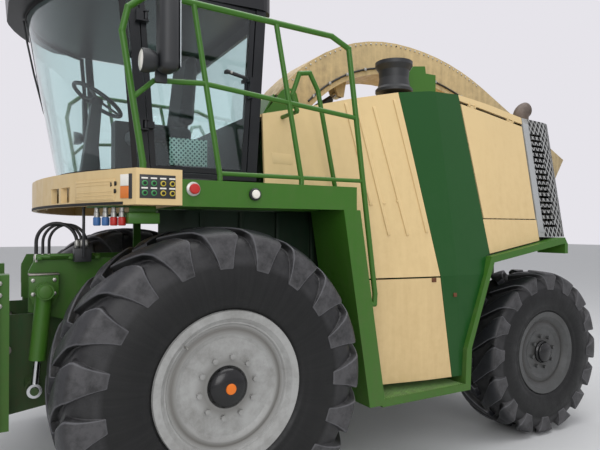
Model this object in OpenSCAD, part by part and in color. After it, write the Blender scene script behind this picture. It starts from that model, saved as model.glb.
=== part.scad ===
// Self-propelled forage harvester, millimetres.
// X runs forward, Y to the machine's left and Z up from the ground.
// Modules draw in a frame whose X starts at the front axle, and place() moves
// that frame so that the origin lies under the middle of the whole machine.

/* [Running gear] */
// Distance between the front and rear axles
wheelbase = 3040; // [2900:10:3200]
// Radius of a front tyre at its lugs
front_r = 890; // [860:5:900]
// Width of a front tyre
front_w = 650; // [600:10:660]
// Distance from the middle plane to the middle of a front tyre
front_y = 1160; // [1150:5:1180]
// Radius of a rear tyre at its lugs
rear_r = 700; // [680:5:710]
// Width of a rear tyre
rear_w = 480; // [440:10:490]
// Distance from the middle plane to the middle of a rear tyre
rear_y = 970; // [960:5:1000]
// Distance from the middle plane to a kingpin
kingpin_y = 620; // [600:5:630]
// Lugs on each half of a front tyre's tread
front_lugs = 19; // [16:1:21]
// Lugs on each half of a rear tyre's tread
rear_lugs = 16; // [14:1:18]

/* [Platform and cab] */
// Distance from the middle plane to the outer face of a platform
deck_y = 1320; // [1300:5:1330]
// Top of the platform
deck_z = 2040; // [2000:10:2060]
// Depth of the platform's side beam
deck_beam_h = 150; // [120:5:160]
// Distance from the middle plane to the outer face of the cab's side
cab_y = 880; // [860:5:890]
// Height of the cab's floor
cab_floor_z = 2120; // [2110:5:2140]
// Height of the roof's lower face
roof_z = 3260; // [3200:10:3300]
// Thickness of the roof
roof_h = 330; // [250:10:380]
// Diameter of the handrail tube
rail_d = 36; // [30:1:42]

/* [Body] */
// Half the body's width at its widest level
body_y = 1280; // [1260:5:1300]
// Inward lean of the upper panels for each unit of height
tumble = 0.165; // [0.12:0.005:0.18]
// Thickness of a body panel
panel_t = 20; // [15:1:25]
// Level of the seam between the lower and upper panels
seam_z = 1420; // [1400:5:1450]
// Lower edge of the side panels
panel_low_z = 670; // [650:5:700]

/* [Spout] */
// Outer radius of the rear part of the spout's curve
spout_r = 2600; // [2500:10:2700]
// Length of the spout's straight tail
tail_l = 1050; // [950:10:1100]
// Length of the flap at the spout's end
flap_l = 420; // [360:10:440]
// Depth of the spout
spout_h = 300; // [280:10:320]
// Width of the spout
spout_w = 400; // [360:10:420]

/* [Intake] */
// Half the width of the feed housing
intake_y = 390; // [360:5:400]
// Reach of the feed housing ahead of the front axle
intake_x = 1450; // [1400:10:1500]
// Diameter of a feed roll over its bars
roll_d = 300; // [260:10:310]

/* [Fits] */
// Radial clearance of a pin in its eye
pin_gap = 0.4; // [0.3:0.1:0.8]
// Clearance between neighbouring panels
seat_gap = 0.3; // [0.2:0.1:0.6]
// Clearance round a piece that moves
run_gap = 8; // [6:1:12]

/* [Hidden] */
$fn = 48;

// The spout's curve: a short front arc and a long rear arc that share their top
spout_top = [-2200, 3530];
spout_front_r = 1600;
spout_front_a = 53;
tail_a = 27;
spout_plate = 8;
rear_reach = -spout_top.x + spout_r * sin(tail_a) + (tail_l + flap_l) * cos(tail_a);
axle_x = (rear_reach - intake_x) / 2;

beige = [0.87, 0.76, 0.55];
green = [0.20, 0.45, 0.20];
band_green = [0.10, 0.36, 0.14];
rim_grey = [0.66, 0.66, 0.64];
black = [0.06, 0.06, 0.06];
steel = [0.55, 0.55, 0.55];
grille_grey = [0.50, 0.52, 0.53];
glass = [0.60, 0.80, 0.78, 0.4];

function arc(c, r, a0, a1, n) =
    [for (i = [0 : n]) let (a = a0 + (a1 - a0) * i / n) [c.x + r * cos(a), c.y + r * sin(a)]];
function backward(list) = [for (i = [len(list) - 1 : -1 : 0]) list[i]];

module place() {
    translate([axle_x, 0, 0])
        children();
}
module both() {
    children();
    mirror([0, 1, 0])
        children();
}
// An outline in X and Z, between two values of Y
module side_extrude(points, y0, y1) {
    translate([0, y1, 0])
        rotate([90, 0, 0])
            linear_extrude(y1 - y0)
                polygon(points);
}
// An outline in Y and Z, between two values of X
module front_extrude(points, x0, x1) {
    translate([x0, 0, 0])
        rotate([90, 0, 90])
            linear_extrude(x1 - x0)
                polygon(points);
}
// An outline in X and Y, between two values of Z
module plan_extrude(points, z0, z1) {
    translate([0, 0, z0])
        linear_extrude(z1 - z0)
            polygon(points);
}
module block(low, high) {
    translate(low)
        cube(high - low);
}
// A round bar from p to q
module bar(p, q, d) {
    v = q - p;
    translate(p)
        rotate([0, acos(v.z / norm(v)), atan2(v.y, v.x)])
            cylinder(h = norm(v), d = d);
}
// A bent tube: straight runs whose corners are slightly fuller welds
module tube_run(points, d) {
    for (i = [0 : len(points) - 2])
        bar(points[i], points[i + 1], d);
    if (len(points) > 2)
        for (i = [1 : len(points) - 2])
            translate(points[i])
                sphere(d = d * 1.06);
}
// A cylinder along Y
module y_cyl(x, z, y0, y1, r) {
    translate([x, y0, z])
        rotate([-90, 0, 0])
            cylinder(h = y1 - y0, r = r);
}

// Wheels. Local Z is the wheel's axis and points outwards.
// Columns: x, distance to the middle plane, radius, width, flange radius,
// depth of the disc, nuts, pitch circle, hub bore, lugs of a half, their reach down the
// wall, angle from the front up to the outer end of one of them
wheel_x = 0;
wheel_y = 1;
wheel_r = 2;
wheel_w = 3;
wheel_flange = 4;
wheel_inset = 5;
wheel_nuts = 6;
wheel_pcd = 7;
wheel_bore = 8;
wheel_lugs = 9;
wheel_reach = 10;
wheel_turn = 11;
front_wheel = [0, front_y, front_r, front_w, 431.5, 56, 10, 335, 60, front_lugs, 223, 68.4];
rear_wheel = [-wheelbase, rear_y, rear_r, rear_w, 355, 47, 8, 275, 45, rear_lugs, 148, 4];
lip_t = 14;
lip_h = 31;
barrel_t = 15;
disc_t = 14;
lug_h = 48;
function seat_r(w) = w[wheel_flange] - lip_h;
// Half the distance between the rim's flanges
function rim_half(w) = w[wheel_w] / 2 - 35;

module at_wheel(w, side) {
    translate([w[wheel_x], side * w[wheel_y], w[wheel_r]])
        rotate([-90 * side, 0, 0])
            children();
}
// Rings of half a tyre: its wall from the bore, the tread between the lugs, the lugs' faces.
// Columns: radius, distance from the tyre's middle, the lugs' two sides in pitches
lug_end = [-1.03, -0.73];
function tyre_rings(w) = let (
    r = w[wheel_r],
    tip = r - w[wheel_reach],
    seat = seat_r(w),
    half = w[wheel_w] / 2) [
    [(seat + seat_gap) / cos(90 / w[wheel_lugs]), rim_half(w), -0.25, 0.25],
    [seat + lip_h + 6, rim_half(w), -0.25, 0.25],
    [(seat + tip) / 2 + 30, half, -0.25, 0.25],
    [tip, 0.97 * half, -0.17, 0.17],
    [r - lug_h - 0.17 * w[wheel_reach], 0.90 * half, -0.45, 0.31],
    [r - lug_h - 2, 0.70 * half, -0.58, 0.15],
    [r - lug_h, 8, lug_end[0] - 0.03, lug_end[1] + 0.03],
    [r - 0.25 * w[wheel_reach], 0.975 * half, -0.42, 0.28],
    [r - 8, 0.74 * half, -0.55, 0.12],
    [r, 8, lug_end[0], lug_end[1]]];
// Faces of half a tyre. Columns: the corners' rings, their steps round it, the first step
tyre_shell = concat(
    [for (r = [0 : 2], first = [0, 1]) [[r, r, r + 1, r + 1], [0, 1, 1, 0], first]],
    [for (r = [3 : 5]) [[r, r, r + 1, r + 1], [0, 1, 1, 0], 1]],
    [for (r = [[3, 7], [7, 8], [8, 9]]) [[r[0], r[0], r[1], r[1]], [0, 1, 1, 0], 0]],
    [[[4, 3, 7], [0, 0, 0], 0], [[5, 4, 7, 8], [0, 0, 0, 0], 0], [[6, 5, 8, 9], [0, 0, 0, 0], 0],
        [[7, 3, 4], [0, 0, 0], 1], [[8, 7, 4, 5], [0, 0, 0, 0], 1], [[9, 8, 5, 6], [0, 0, 0, 0], 1],
        [[6, 9, 9, 6], [0, 0, 1, 1], 0]]);
module tyre(w, side) {
    rings = tyre_rings(w);
    steps = 2 * w[wheel_lugs];
    pitch = 360 / w[wheel_lugs];
    points = [for (h = [0, 1], ring = rings, m = [0 : steps - 1])
        let (a = w[wheel_turn] + pitch * (floor(m / 2) + h / 2 + ring[2 + m % 2]))
            [w[wheel_x] + ring.x * cos(a), side * (w[wheel_y] + (1 - 2 * h) * ring.y),
                w[wheel_r] + ring.x * sin(a)]];
    function at(h, ring, m) = (h * len(rings) + ring) * steps + (m + steps) % steps;
    // Each half's faces, then the strips that join them at the tread and at the bore
    flat = concat(
        [for (h = [0, 1], row = tyre_shell, m = [row.z : 2 : steps - 1]) let (
            face = [for (i = [0 : len(row.x) - 1]) at(h, row.x[i], m + row.y[i])])
            h == 0 ? face : backward(face)],
        [for (m = [0 : steps - 1]) [at(0, 6, m), at(0, 6, m + 1), at(1, 6, m), at(1, 6, m - 1)]],
        [for (m = [0 : steps - 1]) [at(0, 0, m + 1), at(0, 0, m), at(1, 0, m - 1), at(1, 0, m)]]);
    color(black)
        polyhedron(points = points, faces = [for (face = flat, k = [1 : len(face) - 2])
            side > 0 ? [face[0], face[k + 1], face[k]] : [face[0], face[k], face[k + 1]]]);
}
module rim(w, side) {
    seat = seat_r(w);
    half = rim_half(w);
    face = half + lip_t - w[wheel_inset];
    hub_r = w[wheel_bore] + 75;
    hub_back = -0.25 * w[wheel_w];
    color(rim_grey)
        at_wheel(w, side)
            difference() {
                union() {
                    rotate_extrude()
                        polygon([[seat - barrel_t, -half - lip_t], [seat + lip_h, -half - lip_t],
                            [seat + lip_h, -half], [seat, -half], [seat, half], [seat + lip_h, half],
                            [seat + lip_h - 5, half + lip_t], [seat - barrel_t, half + lip_t - 6],
                            [seat - 60, face + 4], [seat - 100, face + 14], [seat - 130, face],
                            [hub_r + 25, face], [hub_r + 15, face - disc_t],
                            [seat - 132, face - disc_t], [seat - 100, face], [seat - 60, face - 12],
                            [seat - barrel_t, face - 2]]);
                    translate([0, 0, hub_back])
                        cylinder(h = face - hub_back, r = hub_r + 30);
                    translate([0, 0, face])
                        cylinder(h = 36, r = hub_r * 0.66);
                    for (i = [0 : w[wheel_nuts] - 1])
                        rotate([0, 0, (i + 0.25) * 360 / w[wheel_nuts]])
                            translate([w[wheel_pcd] / 2, 0, face - 1])
                                cylinder(h = 23, r = 16, $fn = 6);
                }
                translate([0, 0, hub_back - 1])
                    cylinder(h = face - hub_back - disc_t, r = w[wheel_bore] + pin_gap);
            }
}
// Where the bore for the axle's spindle ends, measured from the middle plane
function spindle_end(w) = w[wheel_y] + rim_half(w) + lip_t - w[wheel_inset] - disc_t - run_gap;
function hub_back_y(w) = w[wheel_y] - 0.25 * w[wheel_w];

// Chassis and axles
rail_y = [350, 430];
rail_z = [1120, 1300];
rear_rail_y = [240, 340];
rear_rail_z = [1300, 1480];
rail_step_x = -2050;
frame_end_x = -3370;
hitch_x = -3500;
hitch_z = 1000;
hitch_pin_r = 19;
hitch_gap = 34;
hitch_ear = 22;
module chassis_frame() {
    color(green) {
        both() {
            block([rail_step_x, rail_y[0], rail_z[0]], [-150, rail_y[1], rail_z[1]]);
            block([frame_end_x, rear_rail_y[0], rear_rail_z[0]],
                [rail_step_x + 120, rear_rail_y[1], rear_rail_z[1]]);
            block([rail_step_x, rear_rail_y[0], rail_z[0]],
                [rail_step_x + 120, rail_y[1], rear_rail_z[1]]);
        }
        block([rail_step_x, -rail_y[0], rail_z[0]], [rail_step_x + 60, rail_y[0], rail_z[1]]);
        block([frame_end_x, -rear_rail_y[0], rear_rail_z[0]],
            [frame_end_x + 60, rear_rail_y[0], rear_rail_z[1]]);
        // Drawbar bracket with its split eye
        block([frame_end_x - 40, -130, hitch_z - 60], [frame_end_x, 130, rear_rail_z[1]]);
        difference() {
            for (z = [hitch_z - hitch_gap / 2 - hitch_ear, hitch_z + hitch_gap / 2])
                translate([0, 0, z])
                    linear_extrude(hitch_ear)
                        union() {
                            translate([hitch_x, 0])
                                circle(r = 48);
                            translate([hitch_x, -48])
                                square([frame_end_x - 40 - hitch_x, 96]);
                        }
            translate([hitch_x, 0, hitch_z - 200])
                cylinder(h = 400, r = hitch_pin_r);
        }
    }
}
front_beam_z = [600, 760];
hub_r = 190;
module front_axle() {
    color(green) {
        block([-120, -640, front_beam_z[0]], [120, 640, front_beam_z[1]]);
        both() {
            front_extrude([[plate_y[1], front_beam_z[1]], [640, front_beam_z[1]], [760, front_r - 60],
                [760, front_r + 130], [640, front_r + 230], [plate_y[1], front_r + 230]], -130, 130);
            y_cyl(0, front_r, 760, hub_back_y(front_wheel) - run_gap, hub_r);
            y_cyl(0, front_r, 760, spindle_end(front_wheel), front_wheel[wheel_bore]);
        }
    }
}
beam_r = 55;
eye_r = 70;
eye_z = [rear_r - 60, rear_r + 60];
kingpin_r = 35;
module rear_axle() {
    color(green) {
        difference() {
            union() {
                block([-wheelbase - 60, -kingpin_y, rear_r - 50], [-wheelbase + 60, kingpin_y, rear_r + 50]);
                both()
                    translate([-wheelbase, kingpin_y, eye_z[0]])
                        cylinder(h = eye_z[1] - eye_z[0], r = eye_r);
                side_extrude([[-wheelbase - 90, rear_r - 50], [-wheelbase + 90, rear_r - 50],
                    [-wheelbase + 150, rear_rail_z[0] - 60], [-wheelbase - 150, rear_rail_z[0] - 60]],
                    -110, 110);
                block([-wheelbase - 150, -rear_rail_y[1], rear_rail_z[0] - 60],
                    [-wheelbase + 150, rear_rail_y[1], rear_rail_z[0]]);
            }
            both()
                translate([-wheelbase, kingpin_y, eye_z[0] - 1])
                    cylinder(h = eye_z[1] - eye_z[0] + 2, r = kingpin_r + pin_gap);
        }
    }
}
arm_l = 250;
arm_t = 35;
rod_pin_r = 15;
rod_eye_r = 32;
rod_eye_h = 30;
module knuckle(side) {
    z_top = eye_z[1] + 5;
    z_low = eye_z[0] - 5;
    color(green)
        translate([-wheelbase, 0, 0])
            mirror([0, side > 0 ? 0 : 1, 0]) {
                translate([0, kingpin_y, z_low - arm_t])
                    cylinder(h = z_top - z_low + 2 * arm_t, r = kingpin_r);
                for (z = [z_low - arm_t, z_top]) {
                    translate([0, kingpin_y, z])
                        cylinder(h = arm_t, r = eye_r - 5);
                    block([-60, kingpin_y, z], [60, kingpin_y + 105, z + arm_t]);
                }
                block([-60, kingpin_y + 75, z_low - arm_t], [60, kingpin_y + 105, z_top + arm_t]);
                y_cyl(0, rear_r, kingpin_y + 105, hub_back_y(rear_wheel) - run_gap, 85);
                y_cyl(0, rear_r, kingpin_y + 105, spindle_end(rear_wheel), rear_wheel[wheel_bore]);
                // Steering arm with its upright pin
                block([-arm_l, kingpin_y - 28, z_low - arm_t], [0, kingpin_y + 28, z_low]);
                translate([-arm_l, kingpin_y, z_low - arm_t])
                    cylinder(h = arm_t, r = rod_eye_r);
                translate([-arm_l, kingpin_y, z_low])
                    cylinder(h = rod_eye_h + 8, r = rod_pin_r);
            }
}
module tie_rod() {
    z = eye_z[0] - 5 + seat_gap;
    color(steel)
        translate([-wheelbase - arm_l, 0, z])
            difference() {
                union() {
                    both()
                        translate([0, kingpin_y, 0])
                            cylinder(h = rod_eye_h, r = rod_eye_r);
                    y_cyl(0, rod_eye_h / 2, -kingpin_y + rod_eye_r / 2, kingpin_y - rod_eye_r / 2, 13);
                }
                both()
                    translate([0, kingpin_y, -1])
                        cylinder(h = rod_eye_h + 2, r = rod_pin_r + pin_gap);
            }
}

// Engine, chopper and the duct that rises to the spout
turret_x = -980;
turret_z = 2600;
chopper_y = rail_y[0] - seat_gap;
engine_y = 280;
module engine_block() {
    color(steel)
        block([-3250, -engine_y, rear_rail_z[1]], [-2130, engine_y, 2350]);
}
duct_x = [-1170, -790];
module chopper_housing() {
    color(green) {
        side_extrude([[-330, 800], [-420, 620], [-640, 520], [-1150, 520], [-1700, 760],
            [-1850, rail_z[0]], [-1850, rail_z[1]], [-1500, 1500], [-700, 1500], [-330, 1300]],
            -chopper_y, chopper_y);
        block([duct_x[0], -180, 1500], [duct_x[1], 180, turret_z - 40]);
        translate([turret_x, 0, turret_z - 40])
            cylinder(h = 40, r = 300);
    }
}

// Front frame: two side plates that carry the feed housing and its cylinders
plate_y = [rail_y[1], rail_y[1] + 25];
feed_pivot = [50, 1010];
feed_pin_r = 40;
trunnion = [860, 1390];
trunnion_pin_r = 22;
cylinder_y = 610;
module front_frame() {
    color(green)
        both()
            difference() {
                union() {
                    side_extrude([[-330, rail_z[1]], [-330, 1500], [-150, 1575], [905, 1575], [940, 1500],
                        [940, 1250], [700, 1180], [320, 1160], [240, 900], [-60, 860], [-140, 1000],
                        [-140, rail_z[1]]], plate_y[0], plate_y[1]);
                    block([-330, 400, rail_z[1]], [-200, plate_y[0], 1560]);
                    // Trunnion block with its round cap
                    side_extrude([[trunnion.x - 80, 1480], [trunnion.x + 78, 1480],
                        [trunnion.x + 78, 1350], [trunnion.x + 55, 1300], [trunnion.x - 55, 1300],
                        [trunnion.x - 80, 1350]], plate_y[1], cylinder_y - 55);
                    y_cyl(trunnion.x, trunnion.y, plate_y[1], cylinder_y + 60, trunnion_pin_r);
                    y_cyl(trunnion.x, trunnion.y, cylinder_y + 56, cylinder_y + 76, 48);
                }
                y_cyl(feed_pivot.x, feed_pivot.y, plate_y[0] - 10, plate_y[1] + 10,
                    feed_pin_r + pin_gap);
            }
    color(green) {
        y_cyl(820, 1545, -plate_y[0], plate_y[0], 25);
        y_cyl(-200, 1480, -400, 400, 25);
        block([40, -cab_y - 40, deck_z - deck_beam_h], [100, cab_y + 40, deck_z - deck_beam_h + 60]);
        both() {
            block([40, plate_y[0], 1570], [100, plate_y[1], deck_z - deck_beam_h]);
            translate([70, 700, deck_z - deck_beam_h])
                cylinder(h = cab_floor_z - 30 - deck_z + deck_beam_h, r = 45);
        }
    }
}

// Feed housing, hinged low at the front axle, with the header's coupling frame
feed_wall = 16;
frame_x = [1050, 1150];
frame_y = [560, 720];
lift_eye = [915, 800];
module feed_housing() {
    color(green) {
        difference() {
            both()
                union() {
                    side_extrude([[-60, 860], [-60, 1120], [160, 1150], [520, 1230], [1040, 1230],
                        [intake_x - 120, 1180], [intake_x, 1000], [intake_x, 640], [intake_x - 60, 560],
                        [400, 700], [160, 800]], intake_y - feed_wall, intake_y);
                    y_cyl(feed_pivot.x, feed_pivot.y, intake_y, plate_y[1] - 1, feed_pin_r);
                    y_cyl(lift_eye.x, lift_eye.y, intake_y, cylinder_y + 50, trunnion_pin_r);
                    y_cyl(lift_eye.x, lift_eye.y, intake_y, cylinder_y - 60, 45);
                }
            both() {
                y_cyl(upper_roll.x, upper_roll.y, intake_y - feed_wall - 1, intake_y + 1,
                    roll_shaft_r + pin_gap);
                y_cyl(lower_roll.x, lower_roll.y, intake_y - feed_wall - 1, intake_y + 1,
                    roll_shaft_r + pin_gap);
            }
        }
        // Floor and rear roof of the feed channel
        side_extrude([[400, 700], [intake_x - 60, 560], [intake_x - 60, 574], [402, 714]],
            -intake_y + feed_wall, intake_y - feed_wall);
        side_extrude([[160, 1150], [520, 1230], [780, 1230], [780, 1214], [522, 1214], [163, 1134]],
            -intake_y + feed_wall, intake_y - feed_wall);
    }
}
upper_roll = [1060, 1010];
lower_roll = [1110, 745];
roll_shaft_r = 30;
roll_bars = 10;
module feed_roll(at, d) {
    length = intake_y - feed_wall - run_gap;
    color(steel)
        translate([at.x, 0, at.y])
            rotate([90, 0, 0]) {
                cylinder(h = 2 * length, d = d - 60, center = true);
                cylinder(h = 2 * intake_y + 16, r = roll_shaft_r, center = true);
                for (i = [0 : roll_bars - 1])
                    rotate([0, 0, i * 360 / roll_bars])
                        translate([d / 2 - 36, -7, -length])
                            cube([36, 14, 2 * length]);
            }
}
coupling_pin_r = 30;
coupling_z = [600, 1500];
module coupling_frame() {
    color(green) {
        both() {
            difference() {
                union() {
                    block([frame_x[0], frame_y[0], coupling_z[0]], [frame_x[1], frame_y[1] - 40, coupling_z[1]]);
                    // Flange plate with the bolts' plate at its top
                    block([frame_x[0] + 60, frame_y[1] - 40, coupling_z[0]],
                        [frame_x[1], frame_y[1], coupling_z[1]]);
                    // Lower locking bracket
                    side_extrude([[frame_x[1], 600], [frame_x[1] + 110, 600], [frame_x[1] + 130, 660],
                        [frame_x[1] + 90, 720], [frame_x[1], 760]], frame_y[0] + 20, frame_y[0] + 60);
                }
                y_cyl(frame_x[1] + 70, 655, frame_y[0] - 10, frame_y[1] + 10, coupling_pin_r);
            }
            block([frame_x[0], intake_y + seat_gap, 1330], [frame_x[1], frame_y[0], 1430]);
            block([frame_x[0], intake_y + seat_gap, coupling_z[0]], [frame_x[1], frame_y[0], 700]);
        }
        block([frame_x[0], -intake_y - seat_gap, 1330], [frame_x[1], intake_y + seat_gap, 1430]);
        // Hooks that take the header's upper tube
        both()
            side_extrude([[frame_x[1], 1360], [frame_x[1] + 90, 1360], [frame_x[1] + 150, 1470],
                [frame_x[1] + 120, 1485], [frame_x[1] + 75, 1410], [frame_x[1], 1430]], 430, 480);
    }
}
lift_barrel_r = 48;
lift_rod_r = 24;
// Clearance of the rods' eyes, whose paths drift a little from their pins
lift_drift = 3;
spout_drift = 8.5;
lift_l = norm(trunnion - lift_eye);
lift_a = atan2(trunnion.x - lift_eye.x, trunnion.y - lift_eye.y);
// Draws along the cylinder's own line: its upper eye is the start, and it runs down
module along_lift(side) {
    translate([trunnion.x, side * cylinder_y, trunnion.y])
        rotate([0, lift_a, 0])
            children();
}
module lift_barrel(side) {
    color(green)
        along_lift(side)
            difference() {
                union() {
                    rotate([90, 0, 0])
                        cylinder(h = 76, r = 52, center = true);
                    translate([0, 0, -lift_l + 180])
                        cylinder(h = lift_l - 180 - 20, r = lift_barrel_r);
                }
                rotate([90, 0, 0])
                    cylinder(h = 120, r = trunnion_pin_r + pin_gap, center = true);
                translate([0, 0, -lift_l])
                    cylinder(h = lift_l - 50, r = lift_rod_r + pin_gap);
            }
}
module lift_rod(side) {
    color(steel)
        along_lift(side)
            difference() {
                union() {
                    translate([0, 0, -lift_l])
                        rotate([90, 0, 0])
                            cylinder(h = 60, r = 42, center = true);
                    translate([0, 0, -lift_l + 20])
                        cylinder(h = lift_l - 205, r = lift_rod_r);
                }
                translate([0, 0, -lift_l])
                    rotate([90, 0, 0])
                        cylinder(h = 62, r = trunnion_pin_r + lift_drift, center = true);
            }
}

// Cab
front_post_x = 295;
front_lean = 0.073;
rear_post_x = -354;
rear_lean = -0.063;
post_w = 60;
post_d = 60;
screen_low_x = 730;
screen_top_x = 940;
screen_t = 8;
screen_cuts = 14;
function post_x(z) = front_post_x + front_lean * (z - cab_floor_z);
function rear_x(z) = rear_post_x + rear_lean * (z - cab_floor_z);
// A bow in plan through its corners at half and its middle at reach
function bow(x0, reach, half, inset) = let (
    rise = reach - x0,
    r = (half * half + rise * rise) / (2 * rise),
    a = asin(half / r))
    [for (i = [0 : screen_cuts]) let (t = -a + 2 * a * i / screen_cuts)
        [reach - r + (r - inset) * cos(t), (r - inset) * sin(t)]];
screen_half = cab_y - 25;
module cab_shell() {
    floor_arc = bow(post_x(cab_floor_z) + post_w, screen_low_x, screen_half, 0);
    roof_mid = roof_z + roof_h / 2;
    color(black)
        difference() {
            union() {
                plan_extrude(concat([[rear_x(cab_floor_z) - 70, cab_y], [rear_x(cab_floor_z) - 70, -cab_y],
                    [post_x(cab_floor_z) + post_w, -cab_y]], floor_arc,
                    [[post_x(cab_floor_z) + post_w, cab_y]]), cab_floor_z - 30, cab_floor_z);
                both() {
                    side_extrude([[post_x(cab_floor_z), cab_floor_z], [post_x(cab_floor_z) + post_w, cab_floor_z],
                        [post_x(roof_z) + post_w, roof_z], [post_x(roof_z), roof_z]], cab_y - post_d, cab_y);
                    side_extrude([[rear_x(cab_floor_z) - 70, cab_floor_z], [rear_x(cab_floor_z), cab_floor_z],
                        [rear_x(roof_z), roof_z], [rear_x(roof_z) - 70, roof_z]], cab_y - post_d, cab_y);
                }
                side_extrude([[rear_x(cab_floor_z) - 70, cab_floor_z], [rear_x(cab_floor_z) - 40, cab_floor_z],
                    [rear_x(roof_z) - 40, roof_z], [rear_x(roof_z) - 70, roof_z]],
                    -cab_y + post_d, cab_y - post_d);
                // Door hinge brackets on the front post
                for (z = hinge_z)
                    difference() {
                        block([door_axis.x - 16, cab_y, z - 34], [door_axis.x + 60, door_axis.y + 14, z + 34]);
                        block([door_axis.x - 20, cab_y - 1, z - 25], [door_axis.x + 20, door_axis.y + 20, z + 25]);
                    }
                for (z = hinge_z)
                    translate([door_axis.x, door_axis.y, z - 30])
                        cylinder(h = 60, r = hinge_pin_r);
            }
            block([rear_x(roof_z) - 200, -cab_y + 170, 2560], [rear_x(cab_floor_z) + 20, cab_y - 170, 3170]);
        }
    color(grille_grey)
        intersection() {
            side_extrude(concat([[-560, roof_z]], arc([-480, roof_mid + 45], 115, 180, 90, 6),
                arc([950, roof_mid + 20], 120, 90, 0, 6), [[1050, roof_z]]), -cab_y - 40, cab_y + 40);
            plan_extrude(concat(arc([-440, cab_y - 100], 120, 90, 180, 6), arc([-440, -cab_y + 100], 120, 180, 270, 6),
                bow(700, 1070, cab_y - 60, 0)), roof_z, roof_z + roof_h + 20);
        }
}
door_axis = [330, 912];
hinge_z = [2400, 3060];
hinge_pin_r = 9;
module cab_glazing() {
    z0 = cab_floor_z;
    z1 = roof_z;
    low_x = post_x(z0) + post_w + screen_t;
    top_x = post_x(z1) + post_w + screen_t;
    low_out = bow(low_x, screen_low_x, screen_half, 0);
    low_in = bow(low_x, screen_low_x, screen_half, screen_t);
    top_out = bow(top_x, screen_top_x, screen_half, 0);
    top_in = bow(top_x, screen_top_x, screen_half, screen_t);
    n = screen_cuts + 1;
    points = concat([for (p = low_out) [p.x, p.y, z0]], [for (p = backward(low_in)) [p.x, p.y, z0]],
        [for (p = top_out) [p.x, p.y, z1]], [for (p = backward(top_in)) [p.x, p.y, z1]]);
    count = 2 * n;
    color(glass) {
        polyhedron(points = points, faces = concat(
            [for (i = [0 : n - 2]) [i, i + 1, count - 1 - i]],
            [for (i = [0 : n - 2]) [i + 1, count - 2 - i, count - 1 - i]],
            [for (i = [0 : n - 2]) [count + i, 2 * count - 1 - i, count + i + 1]],
            [for (i = [0 : n - 2]) [count + i + 1, 2 * count - 1 - i, 2 * count - 2 - i]],
            // The diagonals of the two sheets run the same way, so the pane is equally thick
            [for (i = [0 : count - 1]) let (j = (i + 1) % count)
                i < n || j == 0 ? [i, count + i, j] : [i, count + i, count + j]],
            [for (i = [0 : count - 1]) let (j = (i + 1) % count)
                i < n || j == 0 ? [j, count + i, count + j] : [i, count + j, j]]));
        // Right side window and rear window
        side_extrude([[rear_x(z0), z0], [post_x(z0), z0], [post_x(z1), z1], [rear_x(z1), z1]],
            -cab_y + 6, -cab_y + 12);
        side_extrude([[rear_x(2560) - 60, 2560], [rear_x(2560) - 54, 2560], [rear_x(3170) - 54, 3170],
            [rear_x(3170) - 60, 3170]], -cab_y + 170, cab_y - 170);
    }
}
seat_x = -20;
module cab_seat() {
    color(black) {
        block([seat_x - 120, -150, cab_floor_z], [seat_x + 180, 150, cab_floor_z + 300]);
        block([seat_x - 200, -250, cab_floor_z + 300], [seat_x + 270, 250, cab_floor_z + 430]);
        side_extrude([[seat_x - 200, cab_floor_z + 430], [seat_x - 80, cab_floor_z + 430],
            [seat_x - 150, cab_floor_z + 1020], [seat_x - 240, cab_floor_z + 1010]], -230, 230);
    }
}
module cab_console() {
    color(black) {
        // Side console, steering column and wheel
        block([seat_x - 150, -470, cab_floor_z], [seat_x + 300, -300, cab_floor_z + 520]);
        side_extrude([[480, cab_floor_z], [590, cab_floor_z], [510, cab_floor_z + 560], [440, cab_floor_z + 560]],
            -60, 60);
        translate([462, 0, cab_floor_z + 600])
            rotate([0, -32, 0]) {
                rotate_extrude()
                    translate([190, 0])
                        circle(d = 30, $fn = 16);
                translate([0, 0, -60])
                    cylinder(h = 74, r = 40);
                for (i = [0 : 2])
                    rotate([0, 0, 120 * i + 60])
                        translate([0, -14, -6])
                            cube([190, 28, 12]);
            }
    }
}
fascia_z = [1895, cab_floor_z - 30];
fascia_x = 230;
fascia_corner_x = 480;
fascia_front_x = 890;
fascia_wall = 30;
function fascia_outline(inset) = concat([[fascia_x + inset, deck_y - inset], [fascia_x + inset, -deck_y + inset]],
    bow(fascia_corner_x - inset, fascia_front_x - inset, deck_y - inset, 0));
module cab_fascia() {
    color(beige)
        difference() {
            plan_extrude(fascia_outline(0), fascia_z[0], fascia_z[1]);
            plan_extrude(fascia_outline(fascia_wall), fascia_z[0] - 1, fascia_z[1] - fascia_wall);
            // Hand pockets in the front
            both()
                for (y = [560, 700])
                    block([fascia_front_x - 150, y, fascia_z[0] + 25],
                        [fascia_front_x, y + 110, fascia_z[0] + 115]);
        }
}
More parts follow.
